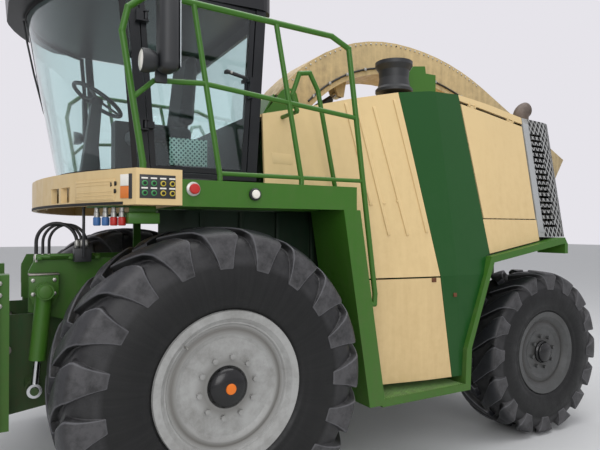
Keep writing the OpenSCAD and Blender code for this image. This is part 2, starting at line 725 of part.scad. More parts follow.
// Door: a frame round one pane, hinged ahead of it
door_gap = 7;
door_t = [cab_y - 44, cab_y - 4];
door_rim = 34;
function door_outline(inset) = let (
    z0 = cab_floor_z + door_gap + inset,
    z1 = roof_z - door_gap - inset,
    g = door_gap + inset)
    [[rear_x(z0) + g, z0], [post_x(z0) - g, z0], [post_x(z1) - g, z1], [rear_x(z1) + g, z1]];
module cab_door_frame() {
    color(black) {
        difference() {
            side_extrude(door_outline(0), door_t[0], door_t[1]);
            side_extrude(door_outline(door_rim), door_t[0] - 1, door_t[1] + 1);
        }
        for (z = hinge_z)
            difference() {
                union() {
                    translate([door_axis.x, door_axis.y, z - 20])
                        cylinder(h = 40, r = 13);
                    block([post_x(z) - door_gap - 30, door_t[1], z - 20], [post_x(z) - door_gap - 8, door_axis.y + 2, z + 20]);
                    block([post_x(z) - door_gap - 30, door_axis.y - 8, z - 20], [door_axis.x, door_axis.y + 8, z + 20]);
                }
                translate([door_axis.x, door_axis.y, z - 21])
                    cylinder(h = 42, r = hinge_pin_r + pin_gap);
            }
        // Pull handle at the rear edge
        block([rear_x(2700) + 12, door_t[1], 2640], [rear_x(2700) + 34, door_t[1] + 50, 2665]);
        block([rear_x(2700) + 12, door_t[1], 2755], [rear_x(2700) + 34, door_t[1] + 50, 2780]);
        block([rear_x(2700) + 12, door_t[1] + 30, 2640], [rear_x(2700) + 34, door_t[1] + 50, 2780]);
    }
}
module cab_door_glass() {
    color(glass)
        side_extrude(door_outline(door_rim), door_t[1] - 12, door_t[1] - 6);
}

// Platforms, each with a slanted ladder box and a low step behind it
wall_lean = 0.1576;
wall_top_x = -842;
wall_d = 130;
wall_low_z = 578;
wall_in_y = 900;
deck_rear_x = -944;
step_z = 610;
step_end_x = -1930;
tread_z = [870, 1130, 1390, 1650];
function wall_x(z) = wall_top_x - wall_lean * (deck_z - deck_beam_h - z);
function wall_slice(x0, x1, z0, z1) =
    [[wall_x(z0) + x0, z0], [wall_x(z0) + x1, z0], [wall_x(z1) + x1, z1], [wall_x(z1) + x0, z1]];
module platforms() {
    beam_z = deck_z - deck_beam_h;
    color(green)
        both() {
            // Deck: side beam, rear beam and the tread plate between
            block([deck_rear_x, deck_y - 60, beam_z], [fascia_x, deck_y, deck_z]);
            block([deck_rear_x, cab_y + 60, beam_z], [deck_rear_x + 60, deck_y, deck_z]);
            block([deck_rear_x, cab_y + 40, deck_z - 30], [fascia_x, deck_y, deck_z - 12]);
            block([deck_rear_x, cab_y + 40, beam_z], [fascia_x, cab_y + 80, deck_z - 12]);
            // Ladder box: front web, two cheeks and treads
            side_extrude(wall_slice(-14, 0, wall_low_z, beam_z), wall_in_y, deck_y);
            side_extrude(wall_slice(-wall_d, 0, wall_low_z, beam_z), deck_y - 25, deck_y);
            side_extrude(wall_slice(-wall_d, 0, wall_low_z, beam_z), wall_in_y, wall_in_y + 25);
            for (z = tread_z)
                side_extrude(wall_slice(-wall_d, -14, z, z + 30), wall_in_y, deck_y);
            // Low step
            block([step_end_x, deck_y - 30, step_z - 45], [wall_x(step_z) - wall_d + 20, deck_y, step_z + 6]);
            block([step_end_x, deck_y - 330, step_z - 20], [wall_x(step_z) - 20, deck_y, step_z]);
            block([step_end_x, deck_y - 330, step_z - 45], [wall_x(step_z) - 20, deck_y - 300, step_z]);
        }
}
// Handrails of one side, from tubes in the outer plane and one hoop further in.
// Columns: x, z
rail_y_out = deck_y - 22;
hoop_y = 1100;
outer_rail = [[440, fascia_z[1]], [440, 2120], [550, 2810], [520, 2940], [400, 3040], [-760, 3010],
    [-895, 2950], [-1107, 1330], [-1103, 1262], [wall_x(1244) - wall_d - 0.6, 1262]];
posts = [[[2, deck_z], [2, deck_z + 30], [160, 3033]], [[-538, deck_z], [-538, deck_z + 30], [-360, 3020]]];
mid_rail = [[380, 2570], [100, 2590], [-950, 2500]];
mid_rail_d = rail_d - 6;
mid_strut = [[498, 2460], [380, 2570]];
toe_rail = [[10, 2085], [-1004, 2085]];
inner_hoop = [[-919, deck_z + 3.5], [-780, 2700], [-715, 2815], [-635, 2800], [-580, 2650], [-618, 2545]];
module rail(points, d, y = rail_y_out) {
    tube_run([for (p = points) [p.x, y, p.y]], d);
}
module handrails() {
    color(green)
        both() {
            rail(outer_rail, rail_d);
            rail(mid_rail, mid_rail_d);
            rail(mid_strut, rail_d - 8);
            rail(toe_rail, rail_d - 10);
            for (post = posts)
                rail(post, rail_d - 4);
            rail(inner_hoop, rail_d - 4, hoop_y);
            // The hoop's foot on the body
            y_cyl(-618, 2545, body_half(-618) - tumble * (2545 - seam_z) + 4, hoop_y, rail_d / 2 - 4);
        }
}
// Body. Its outline in plan at the seam's level: a side, a rounded corner and half the rear
rear_x_face = -3420;
corner_r = 250;
body_line = concat([[-450, 1040], [-1100, 1150], [-1600, body_y - 35], [-1900, body_y], [-2400, body_y + 12],
    [-2900, body_y + 5]], arc([rear_x_face + corner_r, body_y - 15 - corner_r], corner_r, 90, 180, 6),
    [[rear_x_face, 0]]);
// The outline moved inwards
function inset_line(d) = let (n = len(body_line) - 1) [for (i = [0 : n]) let (
    along = body_line[min(i + 1, n)] - body_line[max(i - 1, 0)],
    t = along / norm(along)) body_line[i] + d * [-t.y, t.x]];
// Front edge of the dark band at a level
band_low_x = -1840;
band_lean = 0.132;
function band_x(z) = band_low_x + (z - panel_low_z) * band_lean;
// Its rear edge above the fender
function band_rear_x(z) = -2258 + (z - 1575) * 0.09226;
// Line shared by the rear fender and what stands above it
fender_line = [[step_end_x, step_z + 6], [-1945, 864], [-2215, 1555], [-3111, 1697]];
roof_line = [[-470, 2560], [-820, 2640], [-1150, 2725], [-1555, 2810], [-1850, 2850], [-2140, 2855],
    [-2500, 2805], [-2880, 2738], [rear_x_face - 20, 2725]];
module leaning(side, z0) {
    lean = z0 >= seam_z ? -tumble * side : 0;
    multmatrix([[1, 0, 0, 0], [0, 1, lean, -lean * seam_z], [0, 0, 1, 0], [0, 0, 0, 1]])
        children();
}
// A skin on the body's outline, cut to an outline in X and Z
module body_skin(points, t = panel_t, z0 = seam_z, z1 = 2900) {
    intersection() {
        leaning(1, z0)
            plan_extrude(concat(inset_line(0), backward(inset_line(t))), z0, z1);
        side_extrude(points, -200, 1500);
    }
}
// Everything inside the skins, from side to side
module inside_body(inset, z0, z1) {
    line = inset_line(inset);
    far = 3000;
    intersection_for (side = [1, -1])
        leaning(side, z0)
            plan_extrude(concat([for (p = line) [p.x, side * p.y]],
                [[line[len(line) - 1].x, -side * far], [line[0].x, -side * far]]), z0, z1);
}
// Half the body's width, and the roof's height, at a place along the machine
function body_half(x) = lookup(x, body_line);
function roof_at(x) = lookup(x, roof_line);
// Inner hoops that carry the panels
hoop_t = 40;
hoop_w = 60;
cab_hoop_x = -640;
mid_hoop_x = -1420;
band_hoop_x = -2100;
rear_hoop_x = -2960;
function hoop_half(x) = min(body_half(x), body_half(x + hoop_t)) - 1.02 * (panel_t + seat_gap) - 0.6;
function hoop_top(x) = min(roof_at(x), roof_at(x + hoop_t)) - panel_t - 1;
// A hoop's outline in Y and Z
function hoop_line(x, inset, z0) = let (
    y = hoop_half(x) - inset,
    top = hoop_top(x) - inset,
    low = z0 + inset)
    [[y - tumble * (low - seam_z), low], [y - tumble * (top - seam_z), top],
    [-y + tumble * (top - seam_z), top], [-y + tumble * (low - seam_z), low]];
module hoop(x, z0) {
    difference() {
        front_extrude(hoop_line(x, 0, z0), x, x + hoop_t);
        front_extrude(hoop_line(x, hoop_w, z0), x - 1, x + hoop_t + 1);
    }
}
module body_frame() {
    top = deck_z - deck_beam_h;
    inner = cab_y + 40;
    color(green) {
        // Hoop behind the cab, on legs, with the beam that carries the platforms
        hoop(cab_hoop_x, deck_z + 10);
        block([cab_hoop_x, -inner, top], [cab_hoop_x + hoop_t, inner, top + hoop_w]);
        both() {
            block([cab_hoop_x, rail_y[0] + 20, rail_z[1]], [cab_hoop_x + hoop_t, rail_y[1], top]);
            block([cab_hoop_x, inner - hoop_w, top], [cab_hoop_x + hoop_t, inner - 5, deck_z + 20]);
        }
        // Hoop over the chopper
        difference() {
            hoop(mid_hoop_x, seam_z);
            block([mid_hoop_x - 1, -rail_y[0], seam_z - 1], [mid_hoop_x + hoop_t + 1, rail_y[0], 1510]);
        }
        both() {
            block([mid_hoop_x, rail_y[1] - 60, seam_z - hoop_w],
                [mid_hoop_x + hoop_t, hoop_half(mid_hoop_x), seam_z + 4]);
            block([mid_hoop_x, rail_y[1] - 60, rail_z[1]], [mid_hoop_x + hoop_t, rail_y[1], seam_z - hoop_w]);
        }
        hoop(band_hoop_x, rear_rail_z[1]);
        // Rear hoop on legs, with arms to the fenders
        difference() {
            hoop(rear_hoop_x, grille_z);
            block([rear_hoop_x - 1, -engine_y - 5, grille_z - 1], [rear_hoop_x + hoop_t + 1, engine_y + 5, 1800]);
        }
        both() {
            block([rear_hoop_x, engine_y + 10, rear_rail_z[1]], [rear_hoop_x + hoop_t, rear_rail_y[1], grille_z + 10]);
            block([rear_hoop_x, engine_y + 10, 1622], [rear_hoop_x + hoop_t, fender_in_y, 1662]);
        }
    }
}
panel_front = -8 - wall_d;
// Upper edge of the lid: its hinge line in X and Z
lid_front_x = -2156;
lid_rear_x = -2868;
function lid_top(x) = 2790 + (x + 2150) * 0.16944;
lid_low_z = 1853;
lid_drop = 11;
hinge_rise = 14;
module side_panels() {
    color(beige)
        both() {
            // Lower panel
            body_skin([[wall_x(panel_low_z) + panel_front, panel_low_z],
                [wall_x(seam_z) + panel_front, seam_z - 12], [band_x(seam_z) + 4, seam_z - 12],
                [band_x(panel_low_z) + 4, panel_low_z]], z0 = panel_low_z, z1 = seam_z - 12);
            // Upper panel
            body_skin([[wall_x(seam_z) + panel_front, seam_z], [wall_x(1890) + panel_front, 1890],
                [deck_rear_x - 10, deck_z + 6], [-460, deck_z + 6], [-480, 2562], [-820, 2640], [-1150, 2725],
                [band_x(2810) + 4, 2809], [band_x(seam_z) + 4, seam_z]]);
            // Strip between the rear fender and the lid
            body_skin([[band_rear_x(1575) - seat_gap, 1575], [-2878, 1671], [-2878, lid_low_z - 8],
                [band_rear_x(lid_low_z - 8) - seat_gap, lid_low_z - 8]]);
            // Strip between the lid and the roof, with the lid's hinge pins
            body_skin([[-2148, lid_top(-2148) + hinge_rise], [-2142, 2854], [-2500, 2805], [-2878, 2738],
                [-2878, lid_top(-2878) + hinge_rise]]);
            for (x = hinge_at)
                at_hinge(x) {
                    translate([0, 0, -40])
                        cylinder(h = 80, r = 5);
                    for (z = [-40, 24])
                        translate([0, 0, z]) {
                            cylinder(h = 16, r = 9);
                            translate([-hinge_rise - 12, -8, 0])
                                cube([hinge_rise + 12, 16, 16]);
                        }
                }
        }
}
hinge_at = [-2280, -2730];
// The hinge line lies in the middle of the lid's thickness
function hinge_y(x) = body_y + 12 - 0.014 * (-2400 - x) - panel_t / 2 - tumble * (lid_top(x) - seam_z);
module at_hinge(x) {
    v = [-450, hinge_y(hinge_at[1]) - hinge_y(hinge_at[0]), lid_top(hinge_at[1]) - lid_top(hinge_at[0])];
    translate([x, hinge_y(x), lid_top(x)])
        rotate([0, acos(v.z / norm(v)), atan2(v.y, v.x)])
            children();
}
module hood_bands() {
    color(band_green)
        both() {
            body_skin([[band_x(panel_low_z), panel_low_z], [band_x(seam_z), seam_z], [-2162, seam_z],
                [-1944, 866], [-1932.5, panel_low_z]], z0 = panel_low_z, z1 = seam_z);
            body_skin([[band_x(seam_z), seam_z], [band_x(2810), 2809], [-1850, 2849],
                [band_rear_x(2854), 2854], [band_rear_x(1575), 1575], [-2215, 1555.5], [-2162, seam_z]]);
        }
}
module lid(side) {
    color(beige)
        mirror([0, side > 0 ? 0 : 1, 0])
            difference() {
                union() {
                    body_skin([[-2244, lid_low_z], [lid_front_x, lid_top(lid_front_x) - lid_drop],
                        [lid_rear_x, lid_top(lid_rear_x) - lid_drop], [lid_rear_x, lid_low_z]]);
                    for (x = hinge_at)
                        at_hinge(x)
                            translate([0, 0, -18]) {
                                cylinder(h = 36, r = 9);
                                translate([0, -8, 0])
                                    cube([lid_drop + 12, 16, 36]);
                            }
                }
                for (x = hinge_at)
                    at_hinge(x)
                        translate([0, 0, -30])
                            cylinder(h = 60, r = 5 + pin_gap);
            }
}
exhaust_at = [-3080, 900];
exhaust_r = 70;
precleaner_at = [-1690, 790];
module hood_roof() {
    color(beige)
        difference() {
            intersection() {
                side_extrude(concat(roof_line, [for (p = backward(roof_line)) [p.x, p.y - panel_t]]), -1300, 1300);
                inside_body(panel_t + seat_gap, seam_z, 2900);
            }
            translate([turret_x, 0, 2000])
                cylinder(h = 1000, r = 385);
            translate([exhaust_at.x, exhaust_at.y, 2000])
                cylinder(h = 1000, r = exhaust_r + seat_gap);
            translate([precleaner_at.x, precleaner_at.y, 2000])
                cylinder(h = 1000, r = 60 + seat_gap);
        }
}
fender_t = 52;
fender_in_y = 1050;
fender_end_x = -3150;
module rear_fenders() {
    color(green)
        both()
            side_extrude(concat([[step_end_x, step_z - 45]], fender_line, [[fender_end_x, 1640],
                [fender_end_x, 1560], [-3111, 1560], [-3111, 1697 - fender_t], [-2245, 1508], [-1998, 876],
                [step_end_x - fender_t, step_z - 45]]), fender_in_y, deck_y);
}
grille_x = -2885;
grille_z = 1700;
grille_slot = [22, 50];
grille_rows = 17;
module rear_grille() {
    slots_z = grille_z + 85;
    side_x = [rear_x_face + corner_r + 30, grille_x - 75];
    color(grille_grey)
        both()
            difference() {
                body_skin([[grille_x, grille_z], [grille_x, 2737], [rear_x_face - 20, 2724],
                    [rear_x_face - 20, grille_z]]);
                for (row = [0 : grille_rows - 1]) {
                    z = slots_z + row * grille_slot[1];
                    // A slot in the side and two in each half of the rear
                    block([side_x[0], 900, z], [side_x[1], 1400, z + grille_slot[0]]);
                    for (y = [40, 430])
                        block([rear_x_face - 30, y, z], [rear_x_face + 40, y + 350, z + grille_slot[0]]);
                }
            }
}
exhaust_z = [2600, 2780];
module exhaust_run(r, angle) {
    translate([0, 0, exhaust_z[0]])
        cylinder(h = exhaust_z[1] - exhaust_z[0], r = r);
    translate([-90, 0, exhaust_z[1]])
        rotate([90, 0, 0])
            rotate_extrude(angle = angle)
                translate([90, 0])
                    circle(r = r);
}
module exhaust_pipe() {
    color(steel)
        translate([exhaust_at.x, exhaust_at.y, 0])
            difference() {
                exhaust_run(exhaust_r, 75);
                exhaust_run(exhaust_r - 6, 76);
            }
}
module air_precleaner() {
    color(black)
        translate([precleaner_at.x, precleaner_at.y, 0])
            rotate_extrude()
                polygon([[0, 2740], [60, 2740], [60, 2860], [150, 2868], [150, 2890], [128, 2915],
                    [118, 2980], [124, 3040], [150, 3080], [150, 3110], [60, 3125], [0, 3125]]);
}
// Bracket that stands on the roof behind the pre-cleaner
bracket_line = [[-1860, 3035], [-1905, 3090], [-1940, 3135], [-2070, 3155], [-2080, 3095], [-2190, 3095]];
module hood_bracket() {
    color(green)
        side_extrude(concat(bracket_line, [for (x = [-2190, -2140, -1860]) [x, roof_at(x) + seat_gap]]),
            600, 740);
}
mirror_at = [335, 1405, 2850];
module mirrors() {
    color(black)
        both() {
            block(mirror_at - [55, 70, 260], mirror_at + [55, 70, 260]);
            // Bracket on the middle rail's end
            block([320, rail_y_out + mid_rail_d / 2 + seat_gap, 2550], [385, mirror_at.y - 70, 2650]);
        }
}
// Work lamps ahead of the mirrors, and tail lamps on the ends of the rear fenders
module lamps() {
    color(black)
        both() {
            front_extrude(arc([mirror_at.y - 5, 2640], 62, 0, 330, 11), mirror_at.x + 55 + seat_gap,
                mirror_at.x + 150);
            block([fender_end_x - 36, 1090, 1568], [fender_end_x - seat_gap, 1300, 1632]);
        }
}

// Spout. The boom swings about the turret and lifts about the pivot pins.
boom_pivot = [-1030, 2900];
pivot_pin_r = 25;
cheek_t = 20;
spout_pin_r = 16;
cyl_foot = [-1250, 2755];
cyl_head = [-1665, 3020];
spout_cyl_l = norm(cyl_head - cyl_foot);
spout_cyl_a = atan2(cyl_head.x - cyl_foot.x, cyl_head.y - cyl_foot.y);
front_c = [spout_top.x, spout_top.y - spout_front_r];
rear_c = [spout_top.x, spout_top.y - spout_r];
// A point on the straight tail, a distance inside its outer line
function tail_point(inset, s) = rear_c + (spout_r - inset) * [-sin(tail_a), cos(tail_a)]
    + s * [-cos(tail_a), -sin(tail_a)];
// The boom's outline a distance inside its outer line
function spout_arcs(inset, a0 = 90 - spout_front_a) = concat(
    arc(front_c, spout_front_r - inset, a0, 90, 9),
    [for (i = [1 : 7]) arc(rear_c, spout_r - inset, 90, 90 + tail_a, 7)[i]]);
function spout_line(inset) = concat(spout_arcs(inset), [tail_point(inset, tail_l)]);
module spout_sides(line_out, line_in, half) {
    for (side = [1, -1])
        side_extrude(concat(line_out, backward(line_in)),
            side > 0 ? half - spout_plate : -half, side > 0 ? half : -half + spout_plate);
}
module spout_turret() {
    cheek_in = spout_w / 2 + run_gap;
    color(green)
        difference() {
            union() {
                translate([turret_x, 0, turret_z + 0.5])
                    cylinder(h = 60, r = 290);
                both() {
                    side_extrude([[-760, turret_z + 60], [-960, boom_pivot.y + 20], [-1000, boom_pivot.y + 50],
                        [-1060, boom_pivot.y + 50], [-1100, boom_pivot.y + 20], [-1180, turret_z + 60],
                        [-1180, turret_z + 10], [-760, turret_z + 10]], cheek_in, cheek_in + cheek_t);
                    // Ears for the lifting cylinder
                    side_extrude([[-1120, turret_z + 20], [-1120, turret_z + 60],
                        [cyl_foot.x - 30, cyl_foot.y + 35], [cyl_foot.x - 40, cyl_foot.y - 30],
                        [-1180, turret_z + 20]], 42, 62);
                }
                // Front plate between the cheeks
                side_extrude([[-770, turret_z + 50], [-905, 2880], [-893, 2888], [-758, turret_z + 50]],
                    -cheek_in, cheek_in);
                y_cyl(cyl_foot.x, cyl_foot.y, -66, 66, spout_pin_r);
            }
            block([duct_x[0] + 10, -170, turret_z - 10], [duct_x[1] - 10, 170, turret_z + 62]);
            y_cyl(boom_pivot.x, boom_pivot.y, -400, 400, pivot_pin_r + pin_gap);
        }
}
module spout_boom() {
    color(beige) {
        // Two side plates, the outer sheet, and an inner sheet that stops short of the tail
        spout_sides(spout_line(0), spout_line(spout_h), spout_w / 2);
        side_extrude(concat(spout_line(0), backward(spout_line(spout_plate))), -spout_w / 2, spout_w / 2);
        side_extrude(concat(spout_arcs(spout_h - spout_plate, 44), backward(spout_arcs(spout_h, 44))),
            -spout_w / 2, spout_w / 2);
        both() {
            y_cyl(boom_pivot.x, boom_pivot.y, spout_w / 2 - spout_plate, spout_w / 2 + run_gap + cheek_t + 12,
                pivot_pin_r);
            // Ears for the lifting cylinder
            side_extrude([[cyl_head.x - 30, cyl_head.y - 30], [cyl_head.x + 34, cyl_head.y - 26],
                [cyl_head.x + 80, cyl_head.y + 90], [cyl_head.x - 60, cyl_head.y + 130]], 42, 62);
        }
        y_cyl(cyl_head.x, cyl_head.y, -66, 66, spout_pin_r);
        // Pins that carry the flap
        both()
            y_cyl(flap_pivot.x, flap_pivot.y, spout_w / 2 - spout_plate, spout_w / 2 + run_gap + 2 * spout_plate,
                flap_pin_r);
    }
}
flap_pin_r = 12;
flap_pivot = tail_point(40, tail_l - 40);
module spout_flap() {
    half = spout_w / 2 + run_gap + spout_plate;
    color(beige)
        difference() {
            union() {
                spout_sides([tail_point(20, tail_l - 80), tail_point(0, tail_l + 12), tail_point(0, tail_l + flap_l)],
                    [tail_point(60, tail_l - 80), tail_point(spout_h - 40, tail_l + 40),
                        tail_point(spout_h - 40, tail_l + flap_l - 30)], half);
                side_extrude([tail_point(0, tail_l + 12), tail_point(0, tail_l + flap_l),
                    tail_point(spout_plate, tail_l + flap_l), tail_point(spout_plate, tail_l + 12)], -half, half);
            }
            y_cyl(flap_pivot.x, flap_pivot.y, -half - 1, half + 1, flap_pin_r + pin_gap);
        }
}
module along_spout_cylinder() {
    translate([cyl_foot.x, 0, cyl_foot.y])
        rotate([0, spout_cyl_a, 0])
            children();
}
spout_barrel_r = 32;
spout_rod_r = 16;
module spout_barrel() {
    color(black)
        along_spout_cylinder()
            difference() {
                union() {
                    rotate([90, 0, 0])
                        cylinder(h = 70, r = 30, center = true);
                    translate([0, 0, 12])
                        cylinder(h = spout_cyl_l - 100, r = spout_barrel_r);
                }
                rotate([90, 0, 0])
                    cylinder(h = 72, r = spout_pin_r + pin_gap, center = true);
                translate([0, 0, 60])
                    cylinder(h = spout_cyl_l, r = spout_rod_r + pin_gap);
            }
}
module spout_rod() {
    color(steel)
        along_spout_cylinder()
            difference() {
                union() {
                    translate([0, 0, spout_cyl_l])
                        rotate([90, 0, 0])
                            cylinder(h = 70, r = 38, center = true);
                    translate([0, 0, 120])
                        cylinder(h = spout_cyl_l - 140, r = spout_rod_r);
                }
                translate([0, 0, spout_cyl_l])
                    rotate([90, 0, 0])
                        cylinder(h = 72, r = spout_pin_r + spout_drift, center = true);
            }
}

place() chassis_frame();
place() front_axle();
place() rear_axle();
place() engine_block();
place() chopper_housing();
place() front_frame();
place() body_frame();
place() cab_shell();
place() cab_glazing();
place() cab_seat();
place() cab_console();
place() cab_fascia();
place() platforms();
place() handrails();
place() side_panels();
place() hood_bands();
place() hood_roof();
place() rear_fenders();
place() rear_grille();
place() exhaust_pipe();
place() air_precleaner();
place() hood_bracket();
place() mirrors();
place() lamps();
place() spout_turret();
place() spout_boom();
place() spout_flap();
place() spout_barrel();
place() spout_rod();
place() feed_housing();
place() coupling_frame();
place() feed_roll(upper_roll, roll_d);  // feed_roll_upper
place() feed_roll(lower_roll, roll_d - 100);  // feed_roll_lower
place() lift_barrel(1);  // lift_barrel_left
place() lift_rod(1);  // lift_rod_left
place() lift_barrel(-1);  // lift_barrel_right
place() lift_rod(-1);  // lift_rod_right
place() tyre(front_wheel, 1);  // tyre_front_left
place() tyre(front_wheel, -1);  // tyre_front_right
place() tyre(rear_wheel, 1);  // tyre_rear_left
place() tyre(rear_wheel, -1);  // tyre_rear_right
place() rim(front_wheel, 1);  // rim_front_left
place() rim(front_wheel, -1);  // rim_front_right
place() rim(rear_wheel, 1);  // rim_rear_left
place() rim(rear_wheel, -1);  // rim_rear_right
place() knuckle(1);  // knuckle_left
place() knuckle(-1);  // knuckle_right
place() tie_rod();
place() cab_door_frame();
place() cab_door_glass();
place() lid(1);  // lid_left
place() lid(-1);  // lid_right
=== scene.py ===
# %% [markdown]
# # A forage harvester, dressed for its portrait
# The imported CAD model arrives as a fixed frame: every plate, wheel and bar is already in its
# place, in metres, with X forward, Y to the machine's left and Z up. This script gives those
# pieces their finishes, builds the fittings that are too fine for the CAD model, and sets up
# light, floor and camera. Places are written from the front axle, as on the workshop floor.

# %% Load the frame
import math
from collections import namedtuple
import bmesh
import bpy
from mathutils import Matrix, Vector
from mathutils.bvhtree import BVHTree


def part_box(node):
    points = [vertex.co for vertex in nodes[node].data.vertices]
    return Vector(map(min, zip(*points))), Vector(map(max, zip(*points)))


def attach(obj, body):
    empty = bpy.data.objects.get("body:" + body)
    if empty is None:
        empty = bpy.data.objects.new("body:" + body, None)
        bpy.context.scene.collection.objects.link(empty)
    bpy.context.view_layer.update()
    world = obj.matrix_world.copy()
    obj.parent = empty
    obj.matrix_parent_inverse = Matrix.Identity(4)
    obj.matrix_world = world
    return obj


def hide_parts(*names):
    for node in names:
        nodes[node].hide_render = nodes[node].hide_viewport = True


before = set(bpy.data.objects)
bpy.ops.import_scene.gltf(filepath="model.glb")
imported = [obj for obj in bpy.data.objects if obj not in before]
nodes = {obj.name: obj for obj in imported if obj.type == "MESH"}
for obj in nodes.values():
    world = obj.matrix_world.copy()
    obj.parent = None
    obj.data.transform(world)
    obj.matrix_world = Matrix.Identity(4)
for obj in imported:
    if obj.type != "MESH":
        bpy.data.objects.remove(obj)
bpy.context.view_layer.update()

low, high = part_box("front_axle")
AXLE = (low[0] + high[0]) / 2
print("front axle at x =", round(AXLE, 4))


def at(x, y, z):
    """A place in the frame, from millimetres ahead of the front axle, to the left, and up."""
    return Vector((x / 1000 + AXLE, y / 1000, z / 1000))


def from_axle(x, y, z):
    """The same millimetres about the origin, for a mesh that will be copied to its places."""
    return Vector((x, y, z)) / 1000


# %% [markdown]
# ## Camera
# The photograph was taken from beside the front wheel with a wide lens, at eye height.
# Matching the wheels' rims, the deck and the roof gave the place, the turn and the lens: 546
# pixels of focal length on a picture 600 pixels wide.

# %% Camera
FOCAL_PIXELS, PICTURE_PIXELS, SENSOR_MM = 546, 600, 36
eye = at(1150, 4250, 1760)
yaw, pitch = math.radians(29.6), math.radians(0.52)
look = Vector((-math.sin(yaw) * math.cos(pitch), -math.cos(yaw) * math.cos(pitch), math.sin(pitch)))
camera = bpy.data.objects.new("camera", bpy.data.cameras.new("camera"))
camera.location = eye
camera.rotation_euler = look.to_track_quat("-Z", "Y").to_euler()
camera.data.sensor_width = SENSOR_MM
camera.data.lens = FOCAL_PIXELS / PICTURE_PIXELS * SENSOR_MM
camera.data.clip_end = 200
bpy.context.collection.objects.link(camera)
bpy.context.scene.camera = camera
print("camera at", [round(v, 3) for v in camera.location], "lens", round(camera.data.lens, 2))

# %% [markdown]
# ## Finishes
# Nearly everything here is sheet steel under enamel. A sprayed enamel has a faint orange peel,
# and on a working machine a film of dust that settles in the low parts. Both come from noise
# at a real size, so a small helper that adds one node with its settings keeps them readable.


# %% Colours and the node helper
def srgb(text, dim=1.0):
    """A hex colour as the linear values that Blender's sockets take."""
    parts = [int(text[i:i + 2], 16) / 255 for i in (1, 3, 5)]
    linear = [c / 12.92 if c <= 0.04045 else ((c + 0.055) / 1.055) ** 2.4 for c in parts]
    return tuple(min(1.0, c * dim) for c in linear) + (1.0,)


def fill(tree, node, inputs):
    """Links or fills a node's inputs. A node given as a value lends its first output."""
    for key, value in inputs.items():
        if isinstance(value, bpy.types.Node):
            value = value.outputs[0]
        if isinstance(value, bpy.types.NodeSocket):
            tree.links.new(value, node.inputs[key])
        else:
            node.inputs[key].default_value = value


def add(tree, kind, inputs=None, **settings):
    """Adds one node, sets it up and fills its inputs. A short kind is that of a shader node."""
    node = tree.nodes.new(kind if "Node" in kind else "ShaderNode" + kind)
    for key, value in settings.items():
        setattr(node, key, value)
    fill(tree, node, inputs or {})
    return node


def blank(name):
    """A new material with its tree and its Principled shader."""
    made = bpy.data.materials.new(name)
    made.use_nodes = True
    made.node_tree.nodes.clear()
    shader = add(made.node_tree, "BsdfPrincipled")
    add(made.node_tree, "OutputMaterial", {"Surface": shader})
    return made, made.node_tree, shader


print("a mid grey, #808080, in linear values:", round(srgb("#808080")[0], 3))

# %% [markdown]
# ## Enamel on sheet steel
# The coat is one colour with a slight mottle. Over it lies a film of dust: blotches, times runs
# that the rain has drawn downwards, times a share that falls with height. The same film makes
# the coat dull where it lies, so that colour and gloss agree.


# %% Enamel
def enamel(name, colour, dust="#8D8268", gloss=0.34, dirt=0.30, low_z=0.6, high_z=2.4):
    """Sprayed enamel: an even coat, slightly mottled, with dust that thickens towards the ground."""
    made, tree, shader = blank(name)
    place = add(tree, "TexCoord").outputs["Object"]
    height = add(tree, "SeparateXYZ", {"Vector": place}).outputs["Z"]
    # Dust blotches of about 60 mm, under runs that the rain draws downwards
    blotches = add(tree, "TexNoise", {"Vector": place, "Scale": 16.0, "Detail": 8.0, "Roughness": 0.65})
    drawn = add(tree, "Mapping", {"Vector": place, "Scale": (22.0, 22.0, 1.6)})
    runs = add(tree, "TexNoise", {"Vector": drawn, "Scale": 1.0, "Detail": 6.0, "Roughness": 0.6})
    doubled = add(tree, "Math", {0: runs, 1: 2.0}, operation="MULTIPLY")
    film = add(tree, "Math", {0: blotches, 1: doubled}, operation="MULTIPLY")
    lower = add(tree, "MapRange", {"Value": height, "From Min": low_z, "From Max": high_z,
        "To Min": 1.0, "To Max": 0.25})
    film = add(tree, "Math", {0: film, 1: lower}, operation="MULTIPLY")
    film = add(tree, "MapRange", {"Value": film, "From Min": 0.18, "From Max": 0.62, "To Max": dirt})
    # Sockets 6 and 7 of a Mix node take the two colours, and its third output gives the mixed one
    mottle = add(tree, "TexNoise", {"Vector": place, "Scale": 2.2, "Detail": 4.0})
    coat = add(tree, "Mix", {0: mottle, 6: srgb(colour), 7: srgb(colour, 0.88)}, data_type="RGBA")
    shade = add(tree, "Mix", {0: film, 6: coat.outputs[2], 7: srgb(dust)}, data_type="RGBA")
    rough = add(tree, "MapRange", {"Value": film, "From Max": dirt, "To Min": gloss, "To Max": gloss + 0.35})
    # Orange peel: ripples about 3 mm apart and 0.6 mm deep
    peel = add(tree, "TexNoise", {"Vector": place, "Scale": 320.0, "Detail": 1.0})
    bump = add(tree, "Bump", {"Height": peel, "Distance": 0.0006, "Strength": 0.25})
    fill(tree, shader, {"Base Color": shade.outputs[2], "Roughness": rough, "Normal": bump,
        "Specular IOR Level": 0.32, "Coat Weight": 0.05, "Coat Roughness": 0.25})
    return made


